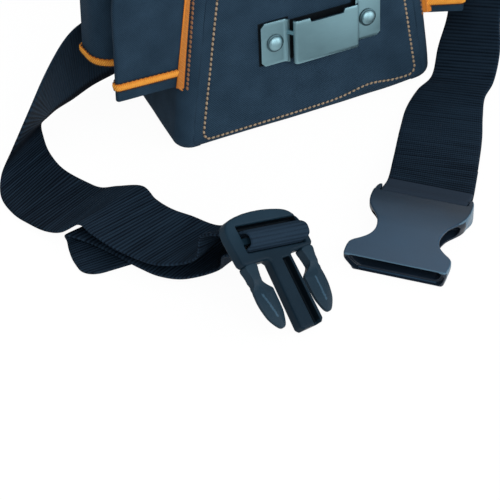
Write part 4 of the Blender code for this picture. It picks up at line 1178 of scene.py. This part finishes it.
def webbing(name, dark, light, bar):
    """Ribbed webbing: dark valleys between weft ribs and warp ends running along it; it is paler over the ladder
    bar and flattened smooth where it leaves the female half.
    Painted light and shade lighten or darken some stretches, and painted shade darkens its low edge and a fold at
    the left."""
    material, places, link = surface(name, 0.8, specular=0.06)
    place = places["UV"]
    u = place.node("SeparateXYZ", {0: place}, 0)
    v = place.node("SeparateXYZ", {0: place}, 1)
    rib = (v + RIB / 4).wave(RIB)
    warp = (u + v * 0.02).wave(0.0013)
    grain = place.speckle(1800.0)
    mottle = place.speckle(40.0, 3.0)
    streak = place.node("CombineXYZ", {0: u * 0.06, 1: v}).speckle(420.0, 1.0)
    tone = rib * 0.4 + warp * 0.12 + grain * 0.35 + mottle * 0.35 + streak * 1.1 - 0.45
    # The colour is made paler over the top of the ladder bar.
    paler_over_bar = place.maths("MAXIMUM", 1 - ((v - bar) / 0.017) ** 2.0, 0.0)
    # Painted light and shade: stretches of the belt lightened or darkened where more or less light falls on them.
    lit_and_shaded_stretches = ((4, 0.06, 0.3), (7, 0.03, 0.1), (17, 0.03, 0.65), (23, 0.03, -0.18), (29, 0.03, 0.1))
    for knot, half, amount in lit_and_shaded_stretches:
        tone = tone + v.within(knots[knot], half, 0.03) * amount
    # Painted shade: darkening along the strap's low edge and in the fold where it turns over to lie on the floor
    # at the left.
    low_edge_shade = u.within(-0.024, 0.003, 0.003) * v.within((knots[15] + knots[21]) / 2, 0.044, 0.006)
    crease_shade = (v - u * 0.1).within(knots[21] + 0.002, 0.0025, 0.005)
    tone = tone * (1 - low_edge_shade) * (1 - crease_shade)
    smooth_part = v.within(hem_middle, hem_half, 0.0012)
    rough_part = 1 - smooth_part
    colour = (tone + paler_over_bar * 0.7).between(dark, light)
    pale = (0.019, 0.0295, 0.046, 1)
    link("Base Color", v.node("MixRGB", {"Fac": smooth_part, "Color1": colour, "Color2": pale}))
    height = (rib * 0.3 + warp * 0.4 + grain * 0.5) * rough_part
    link("Normal", height.node("Bump", {"Height": height, "Strength": 0.5, "Distance": 0.0002}))
    return material


over_bar = knots[len(AROUND) + 6]
belt_cloth = webbing("belt_webbing", (0.0008, 0.003, 0.007), (0.012, 0.025, 0.0425), over_bar)
belt = linked("belt_strap", mesh, belt_cloth)
shaded(belt, 60)
shown(belt, "pouch", "webbing", "belt_webbing")
centre_line = [(a + b) / 2 for a, b in stations[::9]] + [(stations[-1][0] + stations[-1][1]) / 2]

# Floor, light and camera: a plain pale floor under soft studio lamps,
# seen from above the front left corner.
floor_mesh = bpy.data.meshes.new("floor")
floor_mesh.from_pydata([(-4, -4, 0), (4, -4, 0), (4, 4, 0), (-4, 4, 0)], [], [(0, 1, 2, 3)])
paper, _, _ = surface("paper", 0.9)
tree = paper.node_tree
tree.nodes["Principled BSDF"].inputs["Base Color"].default_value = (0.8, 0.8, 0.8, 1)
path = tree.nodes.new("ShaderNodeLightPath").outputs
seen = sum(Wire(tree, path[f"Is {ray} Ray"]) for ray in ("Camera", "Glossy", "Transmission"))
glow = tree.nodes.new("ShaderNodeEmission")
glow.inputs["Strength"].default_value = 1.02
mix = tree.nodes.new("ShaderNodeMixShader")
tree.links.new((seen * 0.94).socket, mix.inputs[0])
tree.links.new(tree.nodes["Principled BSDF"].outputs[0], mix.inputs[1])
tree.links.new(glow.outputs[0], mix.inputs[2])
tree.links.new(mix.outputs[0], tree.nodes["Material Output"].inputs["Surface"])
floor = linked("floor", floor_mesh, paper)
floor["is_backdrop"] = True
world = bpy.data.worlds.new("studio")
bpy.context.scene.world = world
world.use_nodes = True
sky = world.node_tree
sky.nodes["Background"].inputs["Color"].default_value = (0.92, 0.97, 1.0, 1)
sky.nodes["Background"].inputs["Strength"].default_value = 0.55
for name, place, size, power in (
    ("key", (-0.4, -1.5, 1.0), 1.3, 20),
    ("fill", (1.2, -1.2, 0.6), 1.2, 14),
    ("back", (0.5, 1.1, 1.2), 1.4, 9),
):
    data = bpy.data.lights.new(name, "AREA")
    data.shape = "SQUARE"
    data.size = size
    data.energy = power
    lamp = bpy.data.objects.new(name, data)
    bpy.context.scene.collection.objects.link(lamp)
    lamp.location = place
    lamp.rotation_euler = (Vector((0, -0.05, 0.05)) - lamp.location).to_track_quat("-Z", "Y").to_euler()

pitch, yaw, roll = math.radians(38), math.radians(29.4), math.radians(1)
forward = Vector((math.sin(yaw) * math.cos(pitch), math.cos(yaw) * math.cos(pitch), -math.sin(pitch)))
right = Vector((math.cos(yaw), -math.sin(yaw), 0))
up = right.cross(forward)
camera = bpy.data.objects.new("camera", bpy.data.cameras.new("camera"))
bpy.context.scene.collection.objects.link(camera)
camera.data.lens = 144
camera.data.sensor_width = 36
camera.data.clip_start = 0.05
level = right * math.cos(roll) + up * math.sin(roll)
top = up * math.cos(roll) - right * math.sin(roll)
camera.matrix_world = Matrix.Translation(at(-521.44, -853.06, 678.68)) @ (
    Matrix((level, top, -forward)).transposed().to_4x4()
)
bpy.context.scene.camera = camera
bpy.context.scene.view_settings.view_transform = "Standard"

low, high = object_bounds()
